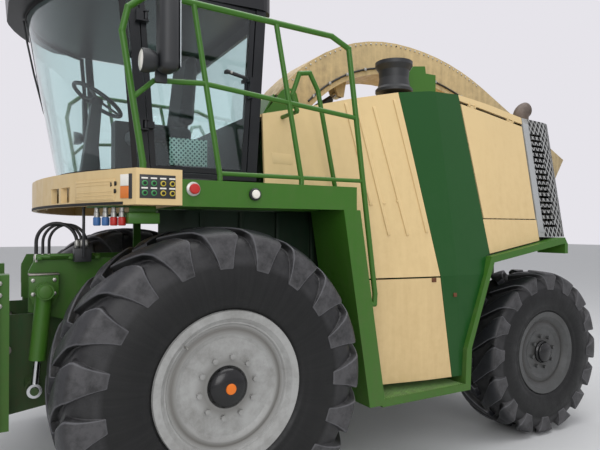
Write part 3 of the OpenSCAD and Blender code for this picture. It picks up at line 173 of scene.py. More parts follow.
cream_enamel = enamel("cream_enamel_on_sheet_steel", "#E2C692", dust="#B08F62", dirt=0.24, high_z=3.0)
spout_enamel = enamel("weathered_cream_enamel", "#CDB688", dust="#7C6D55", dirt=0.6, low_z=2.4, high_z=4.2)
leaf_enamel = enamel("leaf_green_enamel_on_steel", "#3B6C1E", dust="#5A6440", dirt=0.35)
frame_enamel = enamel("green_enamel_under_the_cab", "#284D1F", dust="#4D4C36", dirt=0.55, gloss=0.42)
# Painted shade: a very dark green for the wall in the shade behind the front wheel, with soil over it
shaded_arch_enamel = enamel("soiled_dark_green_enamel_with_painted_shade", "#152A1A", dust="#2B2C22", dirt=0.6, gloss=0.5)
# Painted light: the grating's green is brightened so that it looks lit on the step below the panel
lit_grate_enamel = enamel("light_green_enamel_brightened_as_painted_light", "#8FC06C", dust="#77786A", dirt=0.5)
band_enamel = enamel("deep_green_enamel", "#0E4A12", dust="#3F5A3A", dirt=0.18, gloss=0.30)
pale_enamel = enamel("light_grey_enamel", "#A9ABAC", dust="#77746C", dirt=0.25)
cab_enamel = enamel("black_enamel_on_the_cab", "#1B1D20", dust="#5C5C58", dirt=0.20)
print("enamels made:", [m.name for m in bpy.data.materials if "enamel" in m.name])

# %% [markdown]
# ## Perforated sheet
# The rear grille is steel sheet punched with staggered diamond slots, and so is the plate at the
# foot of the door, in small. Thousands of cut slots would make a heavy mesh, so the shader counts
# columns and rows at their real spacing, paints each diamond dark as painted shade of the space
# behind the sheet, and sinks it with a bump.


# %% Perforated sheet
def perforated(name, colour, hole_colour, cell, slim, from_x):
    """Enamelled sheet with staggered diamond slots. The cell is their spacing in metres."""
    made, tree, shader = blank(name)
    place = add(tree, "TexCoord").outputs["Object"]
    parts = add(tree, "SeparateXYZ", {"Vector": place}).outputs
    # Along the skin, x and the distance outwards add up to one run that goes round the corners
    out = add(tree, "Math", {0: parts["Y"]}, operation="ABSOLUTE")
    run = add(tree, "Math", {0: parts["X"], 1: out}, operation="ADD")
    column = add(tree, "Math", {0: run, 1: cell[0]}, operation="DIVIDE")
    row = add(tree, "Math", {0: parts["Z"], 1: cell[1]}, operation="DIVIDE")
    holes = []
    for shift in (0.0, 0.5):
        reach = []
        for count, share in ((column, slim[0]), (row, slim[1])):
            count = add(tree, "Math", {0: count, 1: shift}, operation="ADD")
            within = add(tree, "Math", {0: count, 1: 1.0}, operation="FLOORED_MODULO")
            off = add(tree, "Math", {0: within, 1: 0.5}, operation="SUBTRACT")
            off = add(tree, "Math", {0: off}, operation="ABSOLUTE")
            reach.append(add(tree, "Math", {0: off, 1: share}, operation="MULTIPLY"))
        rim = add(tree, "Math", {0: reach[0], 1: reach[1]}, operation="ADD")
        holes.append(add(tree, "MapRange", {"Value": rim, "From Min": 0.9, "From Max": 1.08,
            "To Min": 1.0, "To Max": 0.0}))
    hole = add(tree, "Math", {0: holes[0], 1: holes[1]}, operation="MAXIMUM")
    # The border strip ahead of this x is plain
    behind = add(tree, "MapRange", {"Value": parts["X"], "From Min": from_x + 0.005, "From Max": from_x})
    hole = add(tree, "Math", {0: hole, 1: behind}, operation="MULTIPLY")
    soil = add(tree, "TexNoise", {"Vector": place, "Scale": 9.0, "Detail": 8.0, "Roughness": 0.65})
    grime = add(tree, "MapRange", {"Value": soil, "From Min": 0.42, "From Max": 0.72, "To Max": 0.5})
    coat = add(tree, "Mix", {0: grime, 6: srgb(colour), 7: srgb("#6F6A60")}, data_type="RGBA")
    # Painted shade: the slots take the dark colour of the space behind the sheet
    shade = add(tree, "Mix", {0: hole, 6: coat.outputs[2], 7: srgb(hole_colour)}, data_type="RGBA")
    rough = add(tree, "MapRange", {"Value": hole, "To Min": 0.42, "To Max": 0.9})
    metal = add(tree, "Math", {0: 1.0, 1: hole}, operation="SUBTRACT")
    bump = add(tree, "Bump", {"Height": metal, "Distance": 0.003, "Strength": 0.8})
    fill(tree, shader, {"Base Color": shade.outputs[2], "Roughness": rough, "Normal": bump})
    return made


grille_sheet = perforated("grey_perforated_sheet", "#A4A5A4", "#08090A", cell=(0.066, 0.078),
    slim=(3.1, 2.35), from_x=AXLE - 2.96)
teal_plate = perforated("pale_teal_perforated_plate", "#BFD8D2", "#4C6664", cell=(0.03, 0.03),
    slim=(3.6, 3.6), from_x=90.0)
print("sheets made:", grille_sheet.name, "and", teal_plate.name)

# %% [markdown]
# ## Tyres and rims
# A farm tyre is carbon-black rubber. The sides keep a dark painted sheen in streaks, the faces of
# the lugs dry to a pale grey with dust, the crowns get a painted sheen and the lugs' edges a painted
# highlight. The tyre's own mesh says which is which: it carries a colour, dust_sheen_and_highlight,
# with dust in red, painted sheen in green and painted highlights in blue, and a vector, spoke, that
# points out from the axle and so draws the streaks of the mould.

# %% Sizes of the wheels
# The place of the middle, then radius, width and distance outwards of the tyre, its seat's radius
# and half width, the lugs' reach and number, all in millimetres, and the first lug's turn in degrees
Wheel = namedtuple("Wheel", "x z radius width middle seat_radius seat_half reach lugs turn")
WHEELS = {"front": Wheel(0, 890, 889, 650, 1160, 400.5, 290, 223, 19, 68.4),
    "rear": Wheel(-3040, 700, 699, 480, 970, 324, 205, 148, 16, 4.0)}
print("tyres", [2 * wheel.radius for wheel in WHEELS.values()], "mm across")


# %% Rubber
def tyre_rubber():
    """Tyre rubber, from the dark wall up: painted sheen in the streaks, painted sheen on the crowns, dust,
    and painted highlights on the edges.
    """
    made, tree, shader = blank("tyre_rubber")
    place = add(tree, "TexCoord").outputs["Object"]
    dust_sheen_and_highlight = add(tree, "Attribute", attribute_name="dust_sheen_and_highlight").outputs["Color"]
    dust_sheen_and_highlight = add(tree, "SeparateColor", {"Color": dust_sheen_and_highlight}).outputs
    spoke = add(tree, "Attribute", attribute_name="spoke").outputs["Vector"]
    streaks = add(tree, "TexNoise", {"Vector": spoke, "Scale": 26.0, "Detail": 5.0, "Roughness": 0.7})
    soil = add(tree, "TexNoise", {"Vector": place, "Scale": 11.0, "Detail": 10.0, "Roughness": 0.72})
    dusted = add(tree, "MapRange", {"Value": soil, "From Min": 0.36, "From Max": 0.58,
        "To Min": 0.25, "To Max": 0.85})
    dust = add(tree, "Math", {0: dust_sheen_and_highlight["Red"], 1: dusted}, operation="MULTIPLY")
    # Painted sheen on the lugs' crowns, in patches from the same noise
    crown_sheen_patches = add(tree, "MapRange", {"Value": soil, "From Min": 0.3, "From Max": 0.7,
        "To Min": 0.9, "To Max": 0.35})
    crown_sheen = add(tree, "Math", {0: dust_sheen_and_highlight["Green"], 1: crown_sheen_patches}, operation="MULTIPLY")
    # Painted highlight: the lugs' edges are made lighter where light would catch them
    edges = add(tree, "Math", {0: dust_sheen_and_highlight["Blue"], 1: 0.45}, operation="MULTIPLY")
    # Painted sheen in the streaks of the mould on the wall
    sheen = add(tree, "MapRange", {"Value": streaks, "From Min": 0.40, "From Max": 0.75, "To Max": 0.55})
    # From the dark wall up: painted sheen in the streaks, painted sheen on the crowns, dust, and painted
    # highlights on the edges
    shade = srgb("#060707")
    for share, colour in ((sheen, "#1E1E1E"), (crown_sheen, "#2C2D31"), (dust, "#525153"), (edges, "#6A6A6E")):
        shade = add(tree, "Mix", {0: share, 6: shade, 7: srgb(colour)}, data_type="RGBA").outputs[2]
    rough = add(tree, "MapRange", {"Value": soil, "From Min": 0.3, "From Max": 0.7,
        "To Min": 0.34, "To Max": 0.62})
    shine = add(tree, "Math", {0: crown_sheen, 1: 0.12}, operation="MULTIPLY")
    rough = add(tree, "Math", {0: rough, 1: shine}, operation="SUBTRACT")
    grain = add(tree, "TexNoise", {"Vector": place, "Scale": 160.0, "Detail": 3.0})
    ribs = add(tree, "Math", {0: streaks, 1: 0.5}, operation="MULTIPLY")
    height = add(tree, "Math", {0: grain, 1: ribs}, operation="ADD")
    bump = add(tree, "Bump", {"Height": height, "Distance": 0.0014, "Strength": 0.5})
    fill(tree, shader, {"Base Color": shade, "Roughness": rough, "Normal": bump, "Specular IOR Level": 0.36})
    return made


rubber = tyre_rubber()
print("rubber made:", rubber.name)


# %% Paint of the rims
def wheel_paint(front_wheel, rear_wheel):
    """Satin grey enamel on a pressed rim, browner where soil lies, with painted shade in rings under the
    flange and round the nuts.
    """
    made, tree, shader = blank("grey_enamel_on_rims")
    place = add(tree, "TexCoord").outputs["Object"]
    soil = add(tree, "TexNoise", {"Vector": place, "Scale": 7.0, "Detail": 9.0, "Roughness": 0.7})
    grime = add(tree, "MapRange", {"Value": soil, "From Min": 0.40, "From Max": 0.72, "To Max": 0.6})
    parts = add(tree, "SeparateXYZ", {"Vector": place}).outputs
    # 1 on the front wheels and 0 on the rear ones, and from it each wheel's own middle and radius
    front = add(tree, "MapRange", {"Value": parts["X"], "From Min": AXLE - 1.6, "From Max": AXLE - 1.4})
    pairs = ((AXLE + rear_wheel.x / 1000, AXLE + front_wheel.x / 1000),
        (rear_wheel.z / 1000, front_wheel.z / 1000),
        (rear_wheel.seat_radius / 1000, front_wheel.seat_radius / 1000))
    own_x, own_z, own_radius = [add(tree, "MapRange", {"Value": front, "To Min": rear, "To Max": ahead})
        for rear, ahead in pairs]
    squares = []
    for part, own in ((parts["X"], own_x), (parts["Z"], own_z)):
        away = add(tree, "Math", {0: part, 1: own}, operation="SUBTRACT")
        squares.append(add(tree, "Math", {0: away, 1: away}, operation="MULTIPLY"))
    out = add(tree, "Math", {0: squares[0], 1: squares[1]}, operation="ADD")
    out = add(tree, "Math", {0: out, 1: 0.5}, operation="POWER")
    out = add(tree, "Math", {0: out, 1: own_radius}, operation="DIVIDE")
    # Painted shade: dark rings in the corner under the flange and round the nuts, added to the soil in grime
    for ring, wide, share in ((0.80, 0.10, 0.85), (0.34, 0.14, 0.6)):
        off = add(tree, "Math", {0: out, 1: ring}, operation="SUBTRACT")
        off = add(tree, "Math", {0: off}, operation="ABSOLUTE")
        darkened = add(tree, "MapRange", {"Value": off, "From Max": wide, "To Min": share, "To Max": 0.0})
        grime = add(tree, "Math", {0: grime, 1: darkened}, operation="MAXIMUM")
    # Both paints darken with the soil noise and with the painted shade of the rings
    dark, pale = [add(tree, "Mix", {0: grime, 6: srgb(clean), 7: srgb(darkened)}, data_type="RGBA").outputs[2]
        for clean, darkened in (("#4A4B4B", "#2C2A26"), ("#A2A2A0", "#5C5953"))]
    shade = add(tree, "Mix", {0: front, 6: dark, 7: pale}, data_type="RGBA")
    grain = add(tree, "TexNoise", {"Vector": place, "Scale": 260.0, "Detail": 1.0})
    bump = add(tree, "Bump", {"Height": grain, "Distance": 0.0008, "Strength": 0.3})
    fill(tree, shader, {"Base Color": shade.outputs[2], "Roughness": 0.44, "Normal": bump})
    return made


rim_paint = wheel_paint(WHEELS["front"], WHEELS["rear"])
print("rim paint made:", rim_paint.name)

# %% [markdown]
# ## Plastics, metals, glass and cloth
# A small part is of one even stuff, told by its colour, its gloss and the size of its grain:
# moulded plastic has a fine even grain, a casting a coarse one and a ground rod nearly none. The
# glass is clear with a green tint, and the seat's cloth is two sets of threads that cross.


# %% Moulded, cast and machined parts
def plain(name, colour, rough, metal=0.0, grain=60.0, depth=0.0008, mottle=0.12):
    """A moulded, cast or machined surface with its own fine grain."""
    made, tree, shader = blank(name)
    place = add(tree, "TexCoord").outputs["Object"]
    grains = add(tree, "TexNoise", {"Vector": place, "Scale": grain, "Detail": 6.0})
    shade = add(tree, "Mix", {0: grains, 6: srgb(colour), 7: srgb(colour, 1 - 2 * mottle)}, data_type="RGBA")
    gloss = add(tree, "MapRange", {"Value": grains, "To Min": rough - 0.08, "To Max": rough + 0.08})
    bump = add(tree, "Bump", {"Height": grains, "Distance": depth, "Strength": 0.4})
    fill(tree, shader, {"Base Color": shade.outputs[2], "Roughness": gloss, "Normal": bump,
        "Metallic": metal})
    return made


moulded_black = plain("moulded_black_plastic", "#26282A", 0.48, grain=380.0)
glossy_black = plain("glossy_black_hub_enamel", "#0E0F10", 0.22, grain=300.0)
soft_seal = plain("black_sealing_rubber", "#0D0E0F", 0.7, grain=200.0)
hose_rubber = plain("extruded_black_rubber", "#1D1D1E", 0.5, grain=200.0)
chrome_rod = plain("ground_chromed_rod", "#C9CBCC", 0.16, metal=1.0, grain=900.0, depth=0.0001)
worn_steel = plain("worn_bare_steel", "#8B8680", 0.42, metal=1.0, grain=45.0)
scaled_steel = plain("heat_scaled_exhaust_steel", "#6E625A", 0.62, metal=0.35, grain=28.0, mottle=0.25)
rusty_steel = plain("rusty_steel", "#7A4A2C", 0.8, grain=90.0, mottle=0.3)
cast_iron = plain("painted_cast_iron", "#4A4C4C", 0.6, grain=120.0)
zinc_bolt = plain("zinc_plated_steel", "#B9B8B2", 0.38, metal=0.9, grain=300.0)
orange_cap = plain("orange_polypropylene", "#F07A12", 0.40, grain=300.0)
red_cap = plain("red_polypropylene", "#C22A22", 0.35, grain=300.0)
blue_cap = plain("blue_polypropylene", "#3D6DA8", 0.38, grain=300.0)
yellow_cap = plain("yellow_polypropylene", "#D0B93C", 0.40, grain=300.0)
green_cap = plain("green_polypropylene", "#3E9A55", 0.40, grain=300.0)
white_lens = plain("opal_acrylic", "#EFEBE2", 0.18, grain=300.0, mottle=0.03)
amber_lens = plain("amber_acrylic", "#DD7A2C", 0.20, grain=300.0, mottle=0.05)
mirror_glass = plain("silvered_mirror_glass", "#C8D0D2", 0.06, metal=1.0, grain=30.0, depth=0.0)
print("materials so far:", len(bpy.data.materials))


# %% Window glass
def tinted_glass(name, colour):
    """Float glass with a green tint: clear, sharp and slightly coloured all through."""
    made, tree, shader = blank(name)
    place = add(tree, "TexCoord").outputs["Object"]
    film = add(tree, "TexNoise", {"Vector": place, "Scale": 3.0, "Detail": 5.0})
    rough = add(tree, "MapRange", {"Value": film, "From Min": 0.3, "From Max": 0.8, "To Max": 0.06})
    fill(tree, shader, {"Base Color": srgb(colour), "Roughness": rough, "Transmission Weight": 1.0,
        "IOR": 1.45})
    return made


cab_glass = tinted_glass("green_tinted_float_glass", "#E4F4F3")
print("glass made:", cab_glass.name)


# %% Seat cloth
def cloth(name, colour):
    """Plain woven seat cloth: threads 1.6 mm apart, drawn 3 mm apart so that they show."""
    made, tree, shader = blank(name)
    place = add(tree, "TexCoord").outputs["Object"]
    across, along = [add(tree, "TexWave", {"Vector": place, "Scale": 105.0}, bands_direction=way)
        for way in ("Y", "X")]
    weave = add(tree, "Math", {0: across.outputs["Fac"], 1: along.outputs["Fac"]}, operation="MULTIPLY")
    shade = add(tree, "Mix", {0: weave, 6: srgb(colour), 7: srgb(colour, 2.2)}, data_type="RGBA")
    bump = add(tree, "Bump", {"Height": weave, "Distance": 0.001, "Strength": 0.6})
    fill(tree, shader, {"Base Color": shade.outputs[2], "Roughness": 0.9, "Sheen Weight": 0.3,
        "Normal": bump})
    return made


seat_cloth = cloth("woven_seat_cloth", "#26282C")
print("materials made:", len(bpy.data.materials))

# %% [markdown]
# ## Dressing the CAD model
# Every node of the CAD model gets one finish. One table of finishes and nodes shows at a glance
# what is painted alike, and a node that is forgotten shows up in the count.

# %% Give each CAD node its finish
finish_of = {
    cream_enamel: ["side_panels", "hood_roof", "lid_left", "lid_right", "cab_fascia"],
    spout_enamel: ["spout_boom", "spout_flap"],
    leaf_enamel: ["platforms", "handrails", "rear_fenders", "front_frame", "coupling_frame",
        "lift_barrel_left", "lift_barrel_right", "spout_turret", "hood_bracket"],
    frame_enamel: ["chassis_frame", "front_axle", "rear_axle", "chopper_housing", "body_frame",
        "feed_housing", "knuckle_left", "knuckle_right"],
    band_enamel: ["hood_bands"],
    cab_enamel: ["cab_shell", "cab_door_frame", "spout_barrel"],
    grille_sheet: ["rear_grille"],
    moulded_black: ["cab_console", "mirrors", "air_precleaner", "lamps"],
    cab_glass: ["cab_glazing", "cab_door_glass"],
    chrome_rod: ["lift_rod_left", "lift_rod_right", "spout_rod"],
    worn_steel: ["feed_roll_upper", "feed_roll_lower", "tie_rod"],
    scaled_steel: ["exhaust_pipe"],
    cast_iron: ["engine_block"],
    seat_cloth: ["cab_seat"],
    rim_paint: ["rim_front_left", "rim_front_right", "rim_rear_left", "rim_rear_right"],
    rubber: ["tyre_front_left", "tyre_front_right", "tyre_rear_left", "tyre_rear_right"],
}
for material, names in finish_of.items():
    for name in names:
        nodes[name].data.materials.clear()
        nodes[name].data.materials.append(material)
print("nodes dressed:", sum(len(names) for names in finish_of.values()), "of", len(nodes))

# %% [markdown]
# ## A fitter's toolbox
# Each fitting is written as a stock of corners and faces in millimetres from the front axle:
# lofts between rings, and boxes, tubes and turned parts made of lofts. One call then turns the
# stock into a mesh, breaks its edges, gives it its finish and lets it ride on a body.


# %% Stock of corners and faces
class Stock:
    """Corners and faces of one fitting, in millimetres from the front axle."""

    def __init__(self):
        self.corners = []
        self.faces = []

    def loft(self, rings):
        """Joins rings of equal length, and caps the first and the last."""
        first, count = len(self.corners), len(rings[0])
        for ring in rings:
            self.corners.extend(tuple(p) for p in ring)
        for k in range(len(rings) - 1):
            for i in range(count):
                a, b = first + k * count + i, first + k * count + (i + 1) % count
                self.faces.append((a, b, b + count, a + count))
        last = first + (len(rings) - 1) * count
        self.faces.append(tuple(range(first, first + count)))
        self.faces.append(tuple(range(last, last + count)))
        return self

    def box(self, x, y, z):
        """A box between two values of x, of y and of z."""
        return self.loft([[(x[0], y[0], h), (x[1], y[0], h), (x[1], y[1], h), (x[0], y[1], h)] for h in z])

    def prism(self, outline, span, along="y"):
        """An outline pushed along one axis: of (x, z) along y, or of (x, y) along z."""
        lay = {"y": lambda p, h: (p[0], h, p[1]), "z": lambda p, h: (p[0], p[1], h)}[along]
        return self.loft([[lay(p, h) for p in outline] for h in span])

    def turned(self, profile, centre, along="y", steps=32):
        """A turned part: pairs of radius and height along its axis."""
        lay = {"y": lambda c, s, h: (c, h, s), "x": lambda c, s, h: (h, c, s),
            "z": lambda c, s, h: (c, s, h)}[along]
        turns = [2 * math.pi * i / steps for i in range(steps)]
        rings = []
        for radius, height in profile:
            radius = max(radius, 0.4)
            ring = [lay(radius * math.cos(t), radius * math.sin(t), height) for t in turns]
            rings.append([tuple(p[i] + centre[i] for i in range(3)) for p in ring])
        return self.loft(rings)

    def hoop(self, section, steps=96):
        """A closed section of (radius, y) carried all the way round an axle along y."""
        first, n = len(self.corners), len(section)
        for k in range(steps):
            t = 2 * math.pi * k / steps
            self.corners += [(r * math.cos(t), y, r * math.sin(t)) for r, y in section]
        for k in range(steps):
            for i in range(n):
                a, b = first + k * n + i, first + k * n + (i + 1) % n
                after = ((k + 1) % steps - k) * n
                self.faces.append((a, b, b + after, a + after))
        return self

    def tube(self, path, radius, sides=12):
        """A round bar or pipe along a path, its rings turned with the path."""
        path = [Vector(p) for p in path]
        ahead = (path[1] - path[0]).normalized()
        side = ahead.orthogonal().normalized()
        turns = [2 * math.pi * i / sides for i in range(sides)]
        rings = []
        for k, p in enumerate(path):
            now = (path[min(k + 1, len(path) - 1)] - path[max(k - 1, 0)]).normalized()
            side = (ahead.rotation_difference(now) @ side).normalized()
            ahead = now
            up = ahead.cross(side)
            rings.append([tuple(p + radius * (side * math.cos(t) + up * math.sin(t))) for t in turns])
        return self.loft(rings)

    def mirrored(self):
        """Adds the same stock on the machine's right side."""
        first = len(self.corners)
        self.corners += [(x, -y, z) for x, y, z in self.corners]
        self.faces += [tuple(first + i for i in face) for face in self.faces]
        return self


def disc(radius, low, high):
    """The profile of a plain disc or a bolt's head, for turned."""
    return [(0, low), (radius, low), (radius, high), (0, high)]


print("a box has", len(Stock().box((0, 1), (0, 1), (0, 1)).faces), "faces")


# %% From stock to piece
SHARP = 35


def mesh_of(name, stock, soften=0.0, cuts=2, sharp=SHARP, place=at):
    """A clean mesh from a stock: faces outwards, edges broken, creases kept."""
    made = bmesh.new()
    corners = [made.verts.new(place(*p)) for p in stock.corners]
    for face in stock.faces:
        made.faces.new([corners[i] for i in face])
    bmesh.ops.recalc_face_normals(made, faces=made.faces)
    if soften:
        keen = [e for e in made.edges if e.is_manifold and e.calc_face_angle(0) > math.radians(sharp)]
        bmesh.ops.bevel(made, geom=keen, offset=soften / 1000, segments=cuts, affect="EDGES",
            profile=0.5, clamp_overlap=True)
    mesh = bpy.data.meshes.new(name)
    made.to_mesh(mesh)
    made.free()
    mesh.shade_smooth()
    mesh.set_sharp_from_angle(angle=math.radians(sharp))
    return mesh


def seat(name, mesh, material, body="body"):
    """Puts a mesh into the scene as a piece that rides on a body."""
    mesh.materials.clear()
    mesh.materials.append(material)
    piece = bpy.data.objects.new(name, mesh)
    bpy.context.collection.objects.link(piece)
    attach(piece, body)
    return piece


def fit(name, stock, material, body="body", soften=0.0, cuts=2):
    """Makes a piece from a stock in one go, its edges softened by so many millimetres."""
    return seat(name, mesh_of(name, stock, soften, cuts), material, body)


def evaluated_mesh(piece):
    """A plain mesh of a piece as its modifiers leave it."""
    seen = piece.evaluated_get(bpy.context.evaluated_depsgraph_get())
    return bpy.data.meshes.new_from_object(seen)


print("creases are kept from", SHARP, "degrees")

# %% [markdown]
# ## Finding the skin
# The side panels, the apron and the grille are curved, and a fitting has to lie on them without
# a gap. A ray is cast at the CAD mesh from outside, and the place where it lands is the skin.

# %% Finding the skin of a CAD node
trees = {}


def skin(name, start, look_along):
    """Where a straight look from start, in millimetres, first meets a CAD node."""
    if name not in trees:
        mesh = nodes[name].data
        corners = [v.co for v in mesh.vertices]
        trees[name] = BVHTree.FromPolygons(corners, [p.vertices for p in mesh.polygons])
    hit = trees[name].ray_cast(at(*start), Vector(look_along))[0]
    return hit and ((hit.x - AXLE) * 1000, hit.y * 1000, hit.z * 1000)


def side_y(name, x, z):
    """How far out the left skin of a node is, at a place seen from the left."""
    return skin(name, (x, 3000, z), (0, -1, 0))[1]


# The middle and the radius of the apron's bow in plan
BOW_X, BOW_R = -1440, 2330


def on_bow(y, proud=0.0):
    """The x of the curved front of the cab's apron."""
    return BOW_X + math.sqrt((BOW_R + proud) ** 2 - y * y)


def bow_patch(stock, y, z, proud, cuts):
    """A plate bent to the curved front, from y[0] to y[1] and z[0] to z[1]."""
    rings = []
    for k in range(cuts + 1):
        t = y[0] + (y[1] - y[0]) * k / cuts
        rings.append([(on_bow(t, proud), t, z[0]), (on_bow(t, proud), t, z[1]),
            (on_bow(t, -2.0), t, z[1]), (on_bow(t, -2.0), t, z[0])])
    return stock.loft(rings)


def skin_strip(stock, name, path, width, proud):
    """A narrow strip that follows the left skin of a node along a path of (x, z)."""
    rings = []
    path = [p for p in path if skin(name, (p[0], 3000, p[1]), (0, -1, 0))]
    for k, (x, z) in enumerate(path):
        a, b = path[max(k - 1, 0)], path[min(k + 1, len(path) - 1)]
        run = math.hypot(b[0] - a[0], b[1] - a[1])
        across = (-(b[1] - a[1]) / run * width / 2, (b[0] - a[0]) / run * width / 2)
        y = side_y(name, x, z)
        rings.append([(x - across[0], y + proud, z - across[1]), (x + across[0], y + proud, z + across[1]),
            (x + across[0], y - 3, z + across[1]), (x - across[0], y - 3, z - across[1])])
    return stock.loft(rings)


def line(first, last, steps):
    """Points in even steps from one to another."""
    return [tuple(a + (b - a) * k / steps for a, b in zip(first, last)) for k in range(steps + 1)]


print("the apron's front is at x =", round(on_bow(0)))

# %% [markdown]
# ## Copies
# Lugs, bolts and bars repeat at one step. A Geometry Nodes tree lays points on a line and puts a
# copy on each, or puts all on one point and turns each copy by its number times the step. The
# copies are then made real, because only real faces are exported.


# %% Geometry Nodes for what repeats
def copies_tree(name, round_axle):
    """Copies in a straight line, or turned step by step about an axle along Y."""
    tree = bpy.data.node_groups.new(name, "GeometryNodeTree")
    wanted = [("Geometry", "NodeSocketGeometry"), ("Count", "NodeSocketInt"), ("Start", "NodeSocketVector"),
        ("Step", "NodeSocketVector"), ("Material", "NodeSocketMaterial")]
    for label, kind in wanted:
        tree.interface.new_socket(label, in_out="INPUT", socket_type=kind)
    tree.interface.new_socket("Geometry", in_out="OUTPUT", socket_type="NodeSocketGeometry")
    given = add(tree, "NodeGroupInput").outputs
    points = add(tree, "GeometryNodeMeshLine", {"Count": given["Count"], "Start Location": given["Start"],
        "Offset": (0.0, 0.0, 0.0) if round_axle else given["Step"]}, mode="OFFSET")
    copy = add(tree, "GeometryNodeInstanceOnPoints", {"Points": points, "Instance": given["Geometry"]})
    if round_axle:
        index = add(tree, "GeometryNodeInputIndex").outputs[0]
        turn = add(tree, "ShaderNodeVectorMath", {0: given["Step"], "Scale": index}, operation="SCALE")
        fill(tree, copy, {"Rotation": add(tree, "FunctionNodeEulerToRotation", {0: turn})})
    real = add(tree, "GeometryNodeRealizeInstances", {0: copy})
    dressed = add(tree, "GeometryNodeSetMaterial", {"Geometry": real, "Material": given["Material"]})
    add(tree, "NodeGroupOutput", {0: dressed})
    return tree


in_a_row = copies_tree("copies in a row", False)
round_an_axle = copies_tree("copies round an axle", True)


def repeated(name, tree, mesh, material, **values):
    """The mesh that a tree of copies makes from one mesh."""
    holder = bpy.data.objects.new(name, mesh)
    bpy.context.collection.objects.link(holder)
    modifier = holder.modifiers.new("copies", "NODES")
    modifier.node_group = tree
    values["Material"] = material
    for socket in tree.interface.items_tree:
        if socket.in_out == "INPUT" and socket.name in values:
            modifier[socket.identifier] = values[socket.name]
    whole = evaluated_mesh(holder)
    bpy.data.objects.remove(holder)
    whole.set_sharp_from_angle(angle=math.radians(SHARP))
    return whole


print("trees of copies:", in_a_row.name, "and", round_an_axle.name)

# %% [markdown]
# ## Tyres
# Each tyre is a closed carcass turned about its axle, and chevron lugs that fold over the
# shoulder. One pair of lugs is lofted through eighteen stations, from the flat end face on the
# wall to the nose on the middle of the tread, and Geometry Nodes sets it round the axle. It
# could be one swept section with a texture for lugs, but the lugs make this wheel's outline.

# %% The lug and the carcass in shares of a wheel's own sizes
# Top drop and top reach, bottom drop and bottom reach, and how far the lug leads and trails
STATIONS = [(1.045, .966, 1.057, .966, .165, .165), (1.022, .983, 1.029, .964, .165, .165),
    (.978, .989, .994, .963, .18, .172), (.852, .992, .811, .951, .21, .18),
    (.628, .994, .537, .92, .275, .20), (.404, .991, .297, .877, .35, .235),
    (.287, .983, .171, .83, .40, .265), (.215, .963, .103, .794, .425, .275),
    (.148, .911, .063, .748, .45, .25), (.09, .825, .034, .695, .50, .18),
    (.04, .732, .014, .63, .555, .10), (.018, .615, .006, .554, .64, -.06),
    (.007, .477, 0, .446, .735, -.25), (.002, .338, -.003, .323, .825, -.41),
    (0, .185, -.006, .178, .92, -.57), (0, .037, -.007, .025, 1.02, -.71),
    (.018, .012, -.007, .006, 1.03, -.73), (.2085, -.009, -.009, -.009, 1.03, -.73)]
# Half of a lug's section: across its width from the middle, and up from the groove
HALF_SECTION = [(1.22, -.1), (1.15, .02), (1.08, .10), (1.05, .3), (1.02, .8), (.99, .92), (.95, .98),
    (.88, 1), (.4, 1)]
SECTION = HALF_SECTION + [(0, 1)] + [(-u, v) for u, v in reversed(HALF_SECTION)]
# The carcass: its wall from the seat out to the lugs' tips, and its tread down from there
WALL = [(.001, 0), (.118, 0), (.15, .17), (.19, .5), (.26, .62), (.32, .60), (.37, .74), (.48, .91),
    (.61, .97), (.75, .96), (.9, .83), (1.0, .70)]
TREAD = [(.811, .951), (.583, .926), (.383, .895), (.217, .855), (.097, .794), (.034, .70), (.006, .46),
    (-.006, .18)]
# The grooves' depth in millimetres, the carcass's steps round the axle, and the angle of a crease
GROOVE, CARCASS_STEPS, TYRE_SHARP = 48, 190, 50
print("a lug has", len(STATIONS), "stations of", len(SECTION), "corners")


# %% Lugs and carcass
def lug_pair(wheel, side):
    """One lug on each half of the tread, with the axle at the origin."""
    pair = Stock()
    pitch = 2 * math.pi / wheel.lugs
    groove, tip = wheel.radius - GROOVE, wheel.radius - wheel.reach
    for half in (0, 1):
        rings = []
        for top, top_y, low, low_y, lead, trail in STATIONS:
            foot, crown = groove - low * (groove - tip), wheel.radius - top * wheel.reach
            ring = []
            for u, v in SECTION:
                share = half / 2 + (trail - lead) / 2 + u * (lead + trail) / 2
                turned = math.radians(wheel.turn) + pitch * share
                out = foot + v * (crown - foot)
                across = (1 - 2 * half) * wheel.width / 2 * (low_y + v * (top_y - low_y))
                ring.append((out * math.cos(turned), side * (wheel.middle + across), out * math.sin(turned)))
            rings.append(ring)
        pair.loft(rings)
    return pair


def carcass(wheel, side):
    """The closed body of the tyre, with the axle at the origin, and its rows of corners."""
    groove, tip = wheel.radius - GROOVE, wheel.radius - wheel.reach
    depth, swell = tip - wheel.seat_radius, wheel.width / 2 - wheel.seat_half
    half = [(wheel.seat_radius + s * depth, wheel.seat_half + k * swell) for s, k in WALL]
    half += [(groove - d * (groove - tip), k * wheel.width / 2) for d, k in TREAD]
    section = half + [(groove + 0.009 * (groove - tip), 0)] + [(r, -y) for r, y in reversed(half)]
    return Stock().hoop([(r, side * wheel.middle + y) for r, y in section], CARCASS_STEPS), len(section)


print("one pair of the front wheel's lugs has", len(lug_pair(WHEELS["front"], 1).corners), "corners")


# %% Dust, painted sheen and painted highlights of a tyre
# Dust on the first stations of a lug, which are its end face. The others have none
END_DUST = (0.7, 1.0, 1.0, 1.0, 1.0, 1.0, 1.0, 0.7, 0.4)


